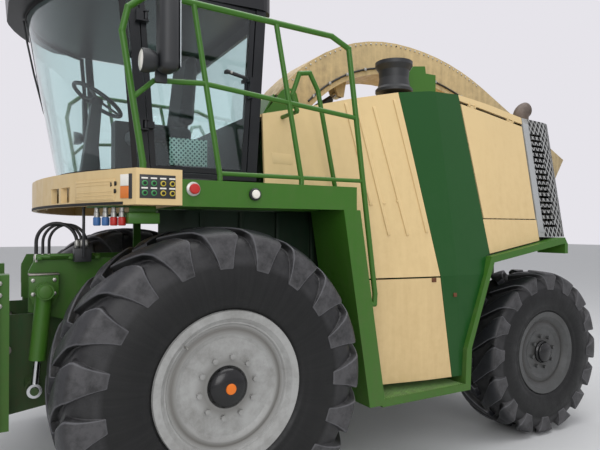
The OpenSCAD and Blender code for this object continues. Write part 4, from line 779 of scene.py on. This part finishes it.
def lug_dust_sheen_and_highlight(station, v):
    """Dust on the end faces, painted sheen on the crown, and painted highlights on the edges."""
    end = END_DUST[station] if station < len(END_DUST) else 0.0
    dust = end if v >= 0.3 else 0.4 * end + 0.15
    crown_sheen = 1.0 if station >= 8 and v >= 0.9 else 0.0
    # Painted highlight on the edges of the crown and on the first stations
    edge = 1.0 if 0.9 <= v < 1 and station >= 2 else (0.6 if station <= 1 else 0.0)
    return (dust, crown_sheen, edge, 1.0)


def give_dust_sheen_and_highlight(mesh, centre, carcass_corners, rows, pair_corners):
    """Writes dust with painted sheen and highlights, and spoke, on a tyre's mesh, in which the carcass comes
    before the pairs of lugs.
    """
    dust_sheen_and_highlight = mesh.attributes.new("dust_sheen_and_highlight", "FLOAT_COLOR", "POINT")
    spoke = mesh.attributes.new("spoke", "FLOAT_VECTOR", "POINT")
    for vertex in mesh.vertices:
        x, z = vertex.co.x - centre[0], vertex.co.z - centre[2]
        r = math.hypot(x, z)
        spoke.data[vertex.index].vector = (x / r, z / r, r * 0.06)
        if vertex.index < carcass_corners:
            on_tread = len(WALL) <= vertex.index % rows < rows - len(WALL)
            # The tread gets dust and a little painted sheen, the wall none
            colour = (0.35, 0.1, 0.0, 1.0) if on_tread else (0.0, 0.0, 0.0, 1.0)
        else:
            k = (vertex.index - carcass_corners) % pair_corners % (len(STATIONS) * len(SECTION))
            colour = lug_dust_sheen_and_highlight(k // len(SECTION), SECTION[k % len(SECTION)][1])
        dust_sheen_and_highlight.data[vertex.index].color = colour


print("wear on a lug's crown:", lug_dust_sheen_and_highlight(10, 1))

# %% Build the four tyres
for end, wheel in WHEELS.items():
    for side, word in ((1, "left"), (-1, "right")):
        name = "tyre_" + end + "_" + word
        low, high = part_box("rim_" + end + "_" + word)
        centre = ((low[0] + high[0]) / 2, 0.0, (low[2] + high[2]) / 2)
        lug = mesh_of("lug_pair", lug_pair(wheel, side), place=from_axle, sharp=TYRE_SHARP)
        pair_corners = len(lug.vertices)
        lugs = repeated(name + "_lugs", round_an_axle, lug, rubber, Count=wheel.lugs, Start=centre,
            Step=(0.0, 2 * math.pi / wheel.lugs, 0.0))
        stock, rows = carcass(wheel, side)
        hull = mesh_of(name + "_carcass", stock, place=from_axle, sharp=TYRE_SHARP)
        hull.transform(Matrix.Translation(Vector(centre)))
        whole = bmesh.new()
        whole.from_mesh(hull)
        whole.from_mesh(lugs)
        mesh = bpy.data.meshes.new(name)
        whole.to_mesh(mesh)
        whole.free()
        give_dust_sheen_and_highlight(mesh, centre, len(hull.vertices), rows, pair_corners)
        mesh.shade_smooth()
        mesh.set_sharp_from_angle(angle=math.radians(TYRE_SHARP))
        piece = seat(name + "_treaded", mesh, rubber, "wheel_" + end + "_" + word)
        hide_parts(name)
        print(piece.name, "triangles", sum(len(p.vertices) - 2 for p in mesh.polygons))

# %% [markdown]
# ## Hubs
# The front hub carries a glossy black cap with an orange plug, the rear hub a plain black one.
# Both are turned parts with their own rounded shoulders, and they cover the CAD stub behind.

# %% Profiles of the hubs
# Pairs of radius and height over the rim's face, which lies so far out from the tyre's middle
HUB_OUT = {"front": 248, "rear": 172}
HUB_CAPS = {"front": [(0, -2), (118, -2), (118, 8), (112, 24), (98, 40), (70, 52), (34, 56), (0, 56)],
    "rear": [(0, -2), (96, -2), (96, 12), (84, 22), (82, 38), (70, 46), (0, 48)]}
HUB_PLUG = [(0, 50), (30, 50), (30, 61), (26, 66), (0, 66)]
RIM_STEPS = [(398, -2), (398, 40), (389, 42), (381, 30), (354, 24), (346, 12), (326, 7), (318, -2)]
# The valve's distance ahead of and above the hub, and its height over the rim, from foot to tip
VALVE = [(251, -8), (250, 18), (244, 34)]


def outwards(profile, side, face):
    """A profile counted outwards from a wheel's face, on the left (1) or the right (-1)."""
    return [(r, side * (face + h)) for r, h in profile]


print("the front hub cap stands", HUB_CAPS["front"][-1][1], "mm over the rim's face")

# %% Hub caps and valves
for side, word in ((1, "left"), (-1, "right")):
    for end, wheel in WHEELS.items():
        body, face = "wheel_" + end + "_" + word, wheel.middle + HUB_OUT[end]
        cap = Stock().turned(outwards(HUB_CAPS[end], side, face), (wheel.x, 0, wheel.z), steps=48)
        fit(end + "_hub_cap_" + word, cap, glossy_black, body, 3)
        if end == "rear":
            continue
        plug = Stock().turned(outwards(HUB_PLUG, side, face), (wheel.x, 0, wheel.z))
        fit("hub_plug_" + word, plug, orange_cap, body, 1.5)
        mesh = mesh_of("rim_steps", Stock().hoop(outwards(RIM_STEPS, side, face)), place=from_axle, sharp=40)
        mesh.transform(Matrix.Translation(at(wheel.x, 0, wheel.z)))
        seat("rim_steps_" + word, mesh, rim_paint, body)
        foot = VALVE[0][0]
        base = skin("rim_front_" + word, (foot, side * 3000, wheel.z + foot), (0, -side, 0))[1]
        valve = Stock().tube([(r, base + side * h, wheel.z + r) for r, h in VALVE], 6)
        fit("valve_" + word, valve, zinc_bolt, body, 1)
print("hub caps on four wheels, steps and valves on the front rims")

# %% [markdown]
# ## Cab
# The windscreen is one smooth bent pane. The CAD model has it in flat facets, so here it is
# lofted again through finer steps on the same bow, and black rubber seals its edges.

# %% Windows
SCREEN_LOW, SCREEN_HIGH, SCREEN_HALF = 2120, 3260, 855


def screen_x(z, y):
    """The outside of the windscreen, a bow in plan that grows towards the roof."""
    share = (z - SCREEN_LOW) / (SCREEN_HIGH - SCREEN_LOW)
    start, reach = 363 + 83.2 * share, 730 + 210 * share
    rise = reach - start
    r = (SCREEN_HALF * SCREEN_HALF + rise * rise) / (2 * rise)
    return reach - r + math.sqrt(r * r - y * y)


def screen_ring(y, heights, thick, proud=0.0):
    """One upright slice of the windscreen or of its seal."""
    ahead = [(screen_x(z, y) + proud, y, z) for z in heights]
    return ahead + [(x - thick, y, z) for x, y, z in reversed(ahead)]


across = [-SCREEN_HALF + 2 * SCREEN_HALF * k / 40 for k in range(41)]
windows = Stock().loft([screen_ring(y, (SCREEN_LOW, 2690, SCREEN_HIGH), 8) for y in across])
windows.prism([(-354, 2120), (295, 2120), (378.2, 3260), (-425.8, 3260)], (-874, -868))
windows.prism([(-441.7, 2560), (-435.7, 2560), (-474.2, 3170), (-480.2, 3170)], (-710, 710))
glass = fit("cab_windows", windows, cab_glass, "body")
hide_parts("cab_glazing")
print("the windscreen bows", round(screen_x(SCREEN_LOW, 0) - screen_x(SCREEN_LOW, SCREEN_HALF)), "mm")

# %% Seal and wiper
# The seal is 22 mm wide at the foot and on the sides, and 24 mm under the roof
SEAL, ROOF_SEAL = 22, 24
inner_low, inner_high = SCREEN_LOW + SEAL, SCREEN_HIGH - ROOF_SEAL
seal = Stock()
for low, high in ((SCREEN_LOW, inner_low), (inner_high, SCREEN_HIGH)):
    seal.loft([screen_ring(y, (low, high), 3, 3.5) for y in across])
for first, last in ((-SCREEN_HALF, -SCREEN_HALF + SEAL), (SCREEN_HALF - SEAL, SCREEN_HALF)):
    seal.loft([screen_ring(y, (inner_low, 2690, inner_high), 3, 3.5) for y in (first, last)])
fit("windscreen_seal", seal, soft_seal)
arm = [(screen_x(z, y) + off, y, z) for y, z, off in ((-93, 3250, 14), (-100, 3100, 18), (-180, 2900, 16),
    (-300, 2640, 12))]
blade = [(-330 + 60 * k / 8, z) for k, z in enumerate(range(2480, 2921, 55))]
blade = [(screen_x(z, y) + 9, y, z) for y, z in blade]
fit("wiper", Stock().tube(arm, 7).tube(blade, 6, 8), moulded_black)
print("seal and wiper in place")

# %% [markdown]
# ## Mirrors and lamps
# A mirror is a deep rounded shell on a short arm from the rail, with its glass to the rear. The
# bevel makes the shell: it is a box whose edges are rounded by 44 mm. A lamp is turned, with a
# rim that stands a little over its lens.

# %% Mirrors
shell = fit("mirror_shells", Stock().box((283, 390), (1335, 1475), (2590, 3110)).mirrored(), moulded_black,
    soften=44, cuts=5)
fit("mirror_arms", Stock().box((320, 385), (1319, 1345), (2550, 2650)).mirrored(), moulded_black, soften=7)
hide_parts("mirrors")
fit("mirror_panes", Stock().box((280, 284), (1352, 1458), (2612, 3088)).mirrored(), mirror_glass,
    soften=1)
print("mirror shells of", len(shell.data.polygons), "faces")

# %% Lamps
WORK_LAMP = (0, 1400, 2640)
lamp = [(0, 392), (38, 392), (52, 404), (62, 440), (62, 476), (57, 478), (57, 470), (0, 470)]
lens = [(0, 470), (56, 470), (56, 475), (40, 481), (20, 484), (0, 484.5)]
lamps = fit("work_lamps", Stock().turned(lamp, WORK_LAMP, "x").mirrored(), moulded_black)
fit("work_lamp_lenses", Stock().turned(lens, WORK_LAMP, "x").mirrored(), white_lens)
fit("tail_lamps", Stock().box((-3184, -3150.5), (1090, 1300), (1568, 1632)).mirrored(), moulded_black,
    soften=8)
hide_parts("lamps")
for name, y, finish in (("stop", (1100, 1168), red_cap), ("turn", (1172, 1232), amber_lens),
        ("reverse", (1236, 1290), white_lens)):
    fit(name + "_lenses", Stock().box((-3186, -3181), y, (1576, 1624)).mirrored(), finish, soften=2)
print("work lamps in front and tail lamps behind")

# %% [markdown]
# ## Seat
# The seat's two pads are foam under cloth. Each starts as a rounded block a little smaller than
# the space it has, is meshed evenly, and is blown up by a cloth simulation for twenty frames.
# A cap on the movement keeps it within its CAD solid.

# %% Pads
# Frames of the simulation, and in metres the cells of the even mesh and the cap on the movement
PUFF_FRAMES, PAD_CELL, PAD_MOVE = 20, 0.006, 0.013


def puffed(piece):
    """Blows up a piece as cloth, each corner by a capped distance, and smooths it."""
    shape = piece.modifiers.new("even", "REMESH")
    shape.mode = "VOXEL"
    shape.voxel_size = PAD_CELL
    even = evaluated_mesh(piece)
    piece.modifiers.clear()
    piece.data = even
    start = [v.co.copy() for v in even.vertices]
    puff = piece.modifiers.new("puff", "CLOTH")
    puff.settings.use_pressure = True
    puff.settings.uniform_pressure_force = 4.0
    puff.settings.effector_weights.gravity = 0.0
    for number in range(1, PUFF_FRAMES + 1):
        bpy.context.scene.frame_set(number)
    blown = piece.evaluated_get(bpy.context.evaluated_depsgraph_get()).data
    moved = [v.co.copy() for v in blown.vertices]
    piece.modifiers.clear()
    for vertex, was, now in zip(even.vertices, start, moved):
        move = now - was
        vertex.co = was + move * min(1.0, PAD_MOVE / max(move.length, 1e-9))
    smooth = piece.modifiers.new("smooth", "SUBSURF")
    smooth.levels = smooth.render_levels = 1
    piece.data = evaluated_mesh(piece)
    piece.modifiers.clear()
    piece.data.materials.clear()
    piece.data.materials.append(seat_cloth)
    piece.data.shade_smooth()
    bpy.context.scene.frame_set(1)


def pad(name, outline, width):
    """A padded block: its outline in (x, z), pushed along y, then blown up as cloth."""
    mesh = mesh_of(name, Stock().prism(outline, width), soften=34, cuts=4)
    piece = seat(name, mesh, seat_cloth, "body")
    puffed(piece)
    return piece


cushion = pad("seat_cushion", [(-200, 2438), (238, 2438), (232, 2536), (-200, 2532)], (-232, 232))
back = pad("seat_back", [(-204, 2556), (-112, 2556), (-176, 3118), (-242, 3112)], (-214, 214))
base = fit("seat_base", Stock().box((-140, 160), (-150, 150), (2120, 2430)), moulded_black, soften=14, cuts=3)
for piece in (cushion, back, base):
    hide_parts("cab_seat")
print("pads of", len(cushion.data.vertices), "and", len(back.data.vertices), "corners on their base")

# %% [markdown]
# ## Door
# The handle is a bent bar on two feet, with the lock beside it. All of it rides on the door, and
# so does the pale plate at the foot of the pane, which keeps boots off the glass.

# %% Door furniture
low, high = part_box("cab_door_glass")
inside = low[1] * 1000
bar = [(-326, 896, 2752), (-322, 908, 2776), (-262, 912, 2786), (-206, 908, 2800), (-200, 896, 2806)]
handle = Stock().tube(bar, 13)
handle.box((-334, -312), (874, 900), (2742, 2764)).box((-212, -190), (874, 900), (2790, 2812))
fit("door_handle", handle, moulded_black, "door", soften=3)
lock = Stock().turned([(0, 904), (9, 904), (9, 921), (6, 924), (0, 924)], (-226, 0, 2795))
fit("door_lock", lock, zinc_bolt, "door")
plate = Stock().box((-78, 172), (inside - 4, inside - 0.5), (2170, 2343))
fit("door_kick_plate", plate, teal_plate, "door", 1)
print("door furniture in place; the pane's inside is at y =", round(inside))

# %% [markdown]
# ## The apron in front of the cab
# The curved cream apron carries lamps, a vent and the outside buttons. Each is a plate bent to
# the same bow or a turned part let into the flat side, a few millimetres proud as on the machine.

# %% Lamps and vent on the bow
bow_parts = [("apron_lip", (-1200, 1240), (1896, 1912), 2.0, soft_seal, "dark_paint", 60),
    ("apron_vent", (872, 1189), (1921, 2037), 4.0, cream_enamel, "beige_paint", 12),
    ("apron_lamp_white", (1231, 1281), (1996, 2058), 5.0, white_lens, "black_plastic", 4),
    ("apron_lamp_amber", (1231, 1281), (1930, 1994), 5.0, amber_lens, "black_plastic", 4),
    ("apron_lamp_frame", (1281, 1296), (1926, 2060), 4.0, moulded_black, "black_plastic", 2)]
for name, y, z, proud, finish, slot, cuts in bow_parts:
    fit(name, bow_patch(Stock(), y, z, proud, cuts), finish, "body", 1.2)
ribs = Stock()
for z in (1932, 1951, 1970, 2008, 2026):
    bow_patch(ribs, (884, 1180), (z - 3, z + 3), 6.5, 12)
fit("apron_vent_ribs", ribs, cream_enamel, "body", 1)
holes = Stock()
for y, z in ((1166, 2007), (1193, 2011), (1190, 1970)):
    holes.turned(disc(12, -4, 6), (on_bow(y), y, z), "x", 16)
fit("apron_holes", holes, soft_seal, "body")
print("parts bent to the bow:", [part[0] for part in bow_parts])

# %% Buttons on the side
SIDE_Y = 1320
COLUMNS = ((436, "green"), (387, "green"), (337, "yellow"), (287, "yellow"))
fit("button_panel", Stock().box((268, 462), (SIDE_Y - 2, SIDE_Y + 3), (1929, 2056)), moulded_black, soften=2)
rings = {"green": (Stock(), green_cap), "yellow": (Stock(), yellow_cap)}
knobs, bars = Stock(), Stock()
for x, kind in COLUMNS:
    for z in (2010, 1958):
        rings[kind][0].turned([(0, 2), (15, 2), (15, 8), (12, 9), (0, 9)], (x, SIDE_Y, z), steps=24)
        knobs.turned([(0, 8), (9, 8), (9, 15), (6, 17), (0, 17)], (x, SIDE_Y, z), steps=24)
for kind, (stock, finish) in rings.items():
    fit(kind + "_button_rings", stock, finish)
fit("button_knobs", knobs, soft_seal)
for z in (2037, 1984):
    for x, kind in COLUMNS:
        bars.box((x - 17, x + 17), (SIDE_Y + 2, SIDE_Y + 4), (z - 4, z + 4))
fit("button_label_bars", bars, white_lens)
print("buttons:", 2 * len(COLUMNS))

# %% Stop button and side lamp
STOP = (168, SIDE_Y, 1987)
fit("stop_button_bezel", Stock().turned([(0, -2), (40, -2), (40, 5), (34, 9), (0, 9)], STOP), zinc_bolt,
    "body")
stop = [(0, 8), (24, 8), (24, 20), (29, 22), (29, 32), (24, 37), (0, 39)]
fit("stop_button", Stock().turned(stop, STOP), red_cap)
side_lamp = (-205, side_y("platforms", -205, 1969), 1969)
fit("side_lamp", Stock().turned([(0, -2), (36, -2), (36, 20), (30, 26), (0, 26)], side_lamp), moulded_black)
fit("side_lamp_lens", Stock().turned([(0, 25), (27, 25), (22, 33), (0, 36)], side_lamp), white_lens)
print("the apron's side is at", SIDE_Y, "and the side lamp's plate at", round(side_lamp[1]))

# %% [markdown]
# ## Couplers
# Four hydraulic couplers hang under the apron's edge, two blue and two red, on a plate that
# follows the bow. A cap and the metal body under it are turned parts on the same axis.

# %% Couplers under the apron
edge = range(960, 1161, 20)
plate = [(on_bow(y, -8), y) for y in edge] + [(on_bow(y, -95), y) for y in reversed(edge)]
fit("coupler_plate", Stock().prism(plate, (1885, 1895), "z"), frame_enamel, "body", 1)
cap = [(0, 1784), (17, 1784), (21, 1789), (21, 1828), (17, 1832), (0, 1832)]
collar = [(0, 1831), (16, 1831), (16, 1858), (13, 1862), (13, 1886), (0, 1886)]
for name, finish, spots in (("blue", blue_cap, ((624, 1000), (586, 1050))),
        ("red", red_cap, ((549, 1090), (513, 1130)))):
    caps, collars = Stock(), Stock()
    for x, y in spots:
        caps.turned(cap, (x, y, 0), "z", 24)
        collars.turned(collar, (x, y, 0), "z", 24)
    fit(name + "_coupler_caps", caps, finish, soften=1.5)
    fit(name + "_coupler_bodies", collars, zinc_bolt, "body")
block = Stock().box((320, 492), (1100, 1200), (1794, 1856)).box((330, 480), (1144, 1156), (1850, 1896))
fit("coupler_block", block, leaf_enamel, "body", 6)
print("couplers hang down to z =", cap[0][1])

# %% [markdown]
# ## Under the platform
# Behind the front wheel a wall closes the body; its very dark green is painted shade. It is thin sheet
# that carries nothing, so it is made here and not in the CAD model. Hoses loop from the front frame
# to a valve block below the apron: each leaves its fitting straight, stands in a stiff arch and comes down.

# %% Arch wall and valve block
wall = Stock().box((-1000, 225), (800, 806), (1330, 1888))
for x in (-900, -620, -340, -60):
    wall.box((x - 16, x + 16), (805, 826), (1340, 1880))
fit("arch_wall", wall, shaded_arch_enamel, "body", 1.5)
valves = Stock().box((590, 690), (500, 600), (1560, 1645))
for x in (612, 640, 668):
    valves.turned(disc(11, 1644, 1658), (x, 575, 0), "z", 6)
valves.box((634, 646), (590, 640), (1590, 2062))
fit("valve_block", valves, moulded_black, soften=3)
print("wall and valve block in place")


# %% Hoses
def hose_path(first, last):
    """Up from the foot, round half a circle, and down into the fitting, in millimetres."""
    across = Vector((last.x - first.x, last.y - first.y, 0))
    level = max(first.z, last.z) + 8
    points = [Vector((first.x, first.y, first.z + (level - first.z) * k / 6)) for k in range(6)]
    for k in range(21):
        turn = math.pi * k / 20
        foot = first + across * (1 - math.cos(turn)) / 2
        points.append(Vector((foot.x, foot.y, level + across.length / 2 * math.sin(turn))))
    return points + [last]


def hose(name, first, last, bore):
    """A stiff hose along its path, with a six-sided fitting at each end."""
    points = hose_path(first, last)
    curve = bpy.data.curves.new(name, "CURVE")
    curve.dimensions = "3D"
    curve.bevel_depth = bore / 2000
    curve.bevel_resolution = 3
    spline = curve.splines.new("POLY")
    spline.points.add(len(points) - 1)
    for k, p in enumerate(points):
        spline.points[k].co = (*at(*p), 1.0)
    curve.materials.append(hose_rubber)
    piece = bpy.data.objects.new(name, curve)
    bpy.context.collection.objects.link(piece)
    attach(piece, "body")
    nut = [(0, -26), (bore * 0.72, -26), (bore * 0.72, 6), (bore * 0.55, 26), (0, 26)]
    ends = Stock().turned(nut, first, "z", 6).turned(nut, last, "z", 6)
    fit(name + "_fittings", ends, zinc_bolt, "body", 0.8)


for number, (x, end_x, bore) in enumerate(((896, 668, 22), (858, 640, 18), (822, 612, 18))):
    foot = skin("front_frame", (x, 442, 3000), (0, 0, -1))[2]
    hose("front_hose_" + str(number + 1), Vector((x, 442, foot + 8)), Vector((end_x, 530, 1672)), bore)

# %% [markdown]
# ## Sheet metal of the body
# The cream sides are pressed in sections. Their joints show as folds that lean with the panels,
# and three of them end in small bright ledges. Each joint is a narrow strip laid on the skin,
# because a cut would have to change the CAD mesh.

# %% Panel joints, latches and ledges
joints = [((-1112, 2690), (-1233, 1950)), ((-1200, 2690), (-1349, 1722)), ((-1335, 2680), (-1500, 1721)),
    ((-1512, 2750), (-1662, 1740))]
folds = Stock()
for first, last in joints:
    skin_strip(folds, "side_panels", line(first, last, 24), 26, 8)
fit("panel_folds", folds, cream_enamel, "body", 5)
ledges = Stock()
for x, z in ((-1233, 1947), (-1337, 1956), (-1451, 1972)):
    y = side_y("side_panels", x, z)
    ledges.box((x - 16, x + 16), (y - 3, y + 7), (z - 9, z + 5))
fit("panel_ledges", ledges, cream_enamel, "body", 3)
latches = Stock()
for name, x, z, wide in (("side_panels", -1680, 1393, 20), ("hood_bands", -1868, 1276, 16)):
    y = side_y(name, x, z)
    latches.box((x - wide, x + wide), (y - 3, y + 7), (z - 15, z + 15))
fit("panel_latches", latches, rusty_steel, "body", 3)

# %% Pressed field and the grille's border
field = [(x, side_y("side_panels", x, z), z) for x, z in ((-670, 2210), (-527, 2216), (-520, 2290),
    (-660, 2284))]
recess = Stock().loft([[(x, y + proud, z) for x, y, z in field] for proud in (1.5, -3)])
fit("panel_recess", recess, cream_enamel, "body", 1)
border = skin_strip(Stock(), "rear_grille", line((-2925, 2690), (-2925, 1740), 16), 66, 3)
fit("grille_border", border, pale_enamel, "body", 1)
print("pressed field and the border of the grille laid on the skin")

# %% [markdown]
# ## Spout
# A row of small bolts holds the wear plates along the top edge, and a pipe runs to the flap.
# The bolts sit on the two arcs of the spout, so the copies turn about each arc's own centre.

# %% Bolts of the spout
# Each arc: its centre's x and z, its radius, the turn of its row in degrees and the bolts' number
SPOUT_ARCS = (("front", (-2200, 1930), 1574, 52, 24), ("rear", (-2200, 930), 2574, -26, 20))
for name, centre, radius, sweep, count in SPOUT_ARCS:
    heads = Stock()
    for side in (-1, 1):
        heads.turned([(0, side * 198), (9, side * 198), (9, side * 206), (6, side * 208), (0, side * 208)],
            (0, 0, radius), steps=6)
    mesh = repeated("spout_bolts_" + name, round_an_axle, mesh_of("bolt_pair", heads, place=from_axle),
        zinc_bolt, Count=count, Start=at(centre[0], 0, centre[1]),
        Step=(0.0, math.radians(sweep / count), 0.0))
    seat("spout_bolts_" + name, mesh, zinc_bolt, "boom")
print("spout bolts on", len(SPOUT_ARCS), "arcs")

# %% Pipe of the spout
pipe = []
for centre_z, radius, turns in ((1930, 1350, range(44, 91, 3)), (930, 2350, range(93, 115, 3))):
    for degrees in turns:
        t = math.radians(degrees)
        pipe.append((-2200 + radius * math.cos(t), 209, centre_z + radius * math.sin(t)))
clips = Stock()
for x, y, z in pipe[1:-1:3]:
    clips.box((x - 12, x + 12), (199, 222), (z - 14, z + 14))
fit("spout_pipe", Stock().tube(pipe, 9), hose_rubber, "boom")
fit("spout_pipe_clips", clips, zinc_bolt, "boom", 4)
print("pipe points", len(pipe))

# %% [markdown]
# ## Steps and front frame
# The low step is an open grating that holds a boot in mud. One bar is repeated in a row by
# Geometry Nodes, and lies on the CAD step's plate.

# %% Gratings
for side, word in ((1, "left"), (-1, "right")):
    top = skin("platforms", (-1500, side * 1150, 900), (0, 0, -1))[2]
    bar = Stock().box((-3, 3), sorted((side * 1002, side * 1308)), (0, 12))
    mesh = repeated("grating", in_a_row, mesh_of("bar", bar, place=from_axle), lit_grate_enamel, Count=42,
        Start=at(-1060, 0, top - 1), Step=(-0.0205, 0.0, 0.0))
    seat("step_grating_" + word, mesh, lit_grate_enamel, "body")
print("gratings at z =", round(top))

# %% [markdown]
# ## Front frame
# A plate with four studs holds the pivot of the intake, and three bolts hold the locking bracket
# of the coupling frame, with which they swing. Two pipes lie along the top of the frame.

# %% Plates, studs and pipes
plates, studs = Stock(), Stock()
plates.prism([(776, 1474), (942, 1474), (942, 1356), (906, 1306), (814, 1306), (776, 1356)], (552, 558))
plates.turned([(0, 684), (40, 684), (40, 689), (30, 694), (0, 694)], (860, 0, 1390))
for x, z in ((800, 1452), (920, 1452), (800, 1368), (920, 1368)):
    studs.turned(disc(13, 553, 564), (x, 0, z), steps=6)
top_plate = Stock().prism([(770, 1480), (944, 1480), (944, 1492), (770, 1492)], (462, 556))
pipes = Stock().tube([(520, 470, 1590), (900, 470, 1590)], 17).tube([(560, 505, 1600), (820, 505, 1600)], 11)
for x in (540, 700, 880):
    pipes.box((x - 14, x + 14), (452, 512), (1574, 1592))
fit("trunnion_plate", plates, leaf_enamel, "body", 2.5)
fit("trunnion_studs", studs, zinc_bolt, "body", 1.2)
fit("trunnion_top", top_plate, worn_steel, "body", 3)
fit("front_frame_pipes", pipes, leaf_enamel, "body", 2)
print("plates and pipes on the front frame")

# %% Bolts that swing with the intake
bolts = Stock()
for z in (1453, 1385, 1322):
    bolts.turned(disc(15, -2, 11), (1100, side_y("coupling_frame", 1100, z), z), steps=6)
fit("coupling_bolts", bolts, zinc_bolt, "intake", 1.5)
print("bolts on the coupling frame")

# %% [markdown]
# ## Floor and light
# The light is one broad soft sky with two large weak lamps, one overhead and one on the camera's
# side, which leave no hard shadow. The floor is plain and pale. The sky looks almost white to
# the camera, through glass and in reflections, and lights the object at a lower level.

# %% Floor
floor_paint, floor_tree, floor_shader = blank("pale_studio_floor")
fill(floor_tree, floor_shader, {"Base Color": srgb("#D9D9DA"), "Roughness": 0.9})
bpy.ops.mesh.primitive_plane_add(size=120, location=(0, 0, 0))
floor = bpy.context.object
floor.name = "studio_floor"
floor.data.materials.append(floor_paint)
print("floor", [round(v) for v in floor.dimensions], "m")

# %% Sky
sky = bpy.data.worlds.new("overcast_sky")
bpy.context.scene.world = sky
sky.use_nodes = True
sky.node_tree.nodes.clear()
path = add(sky.node_tree, "LightPath").outputs
seen = path["Is Camera Ray"]
for ray in ("Is Transmission Ray", "Is Glossy Ray"):
    seen = add(sky.node_tree, "Math", {0: seen, 1: path[ray]}, operation="MAXIMUM").outputs[0]
lamp_side = add(sky.node_tree, "Background", {"Color": srgb("#EDEFF2"), "Strength": 0.62})
view_side = add(sky.node_tree, "Background", {"Color": srgb("#E6E4EA"), "Strength": 1.0})
both_sides = add(sky.node_tree, "MixShader", {0: seen, 1: lamp_side, 2: view_side})
add(sky.node_tree, "OutputWorld", {"Surface": both_sides})
print("sky nodes", len(sky.node_tree.nodes))


# %% Lamps of the studio
def area_lamp(name, place, target, size, power):
    """A square soft lamp that looks at a target, its size in metres and its power in watts."""
    data = bpy.data.lights.new(name, "AREA")
    data.shape = "SQUARE"
    data.size = size
    data.energy = power
    lamp = bpy.data.objects.new(name, data)
    lamp.location = place
    lamp.rotation_euler = (Vector(target) - Vector(place)).to_track_quat("-Z", "Y").to_euler()
    bpy.context.collection.objects.link(lamp)


area_lamp("overhead_softbox", (0, 1.0, 9.0), (0, 0, 1), 8.0, 520)
area_lamp("camera_side_softbox", (4.5, 9.0, 5.0), (0, 0, 1.4), 6.0, 300)
bpy.context.scene.view_settings.view_transform = "Standard"
print("lamps", [light.name for light in bpy.data.lights])
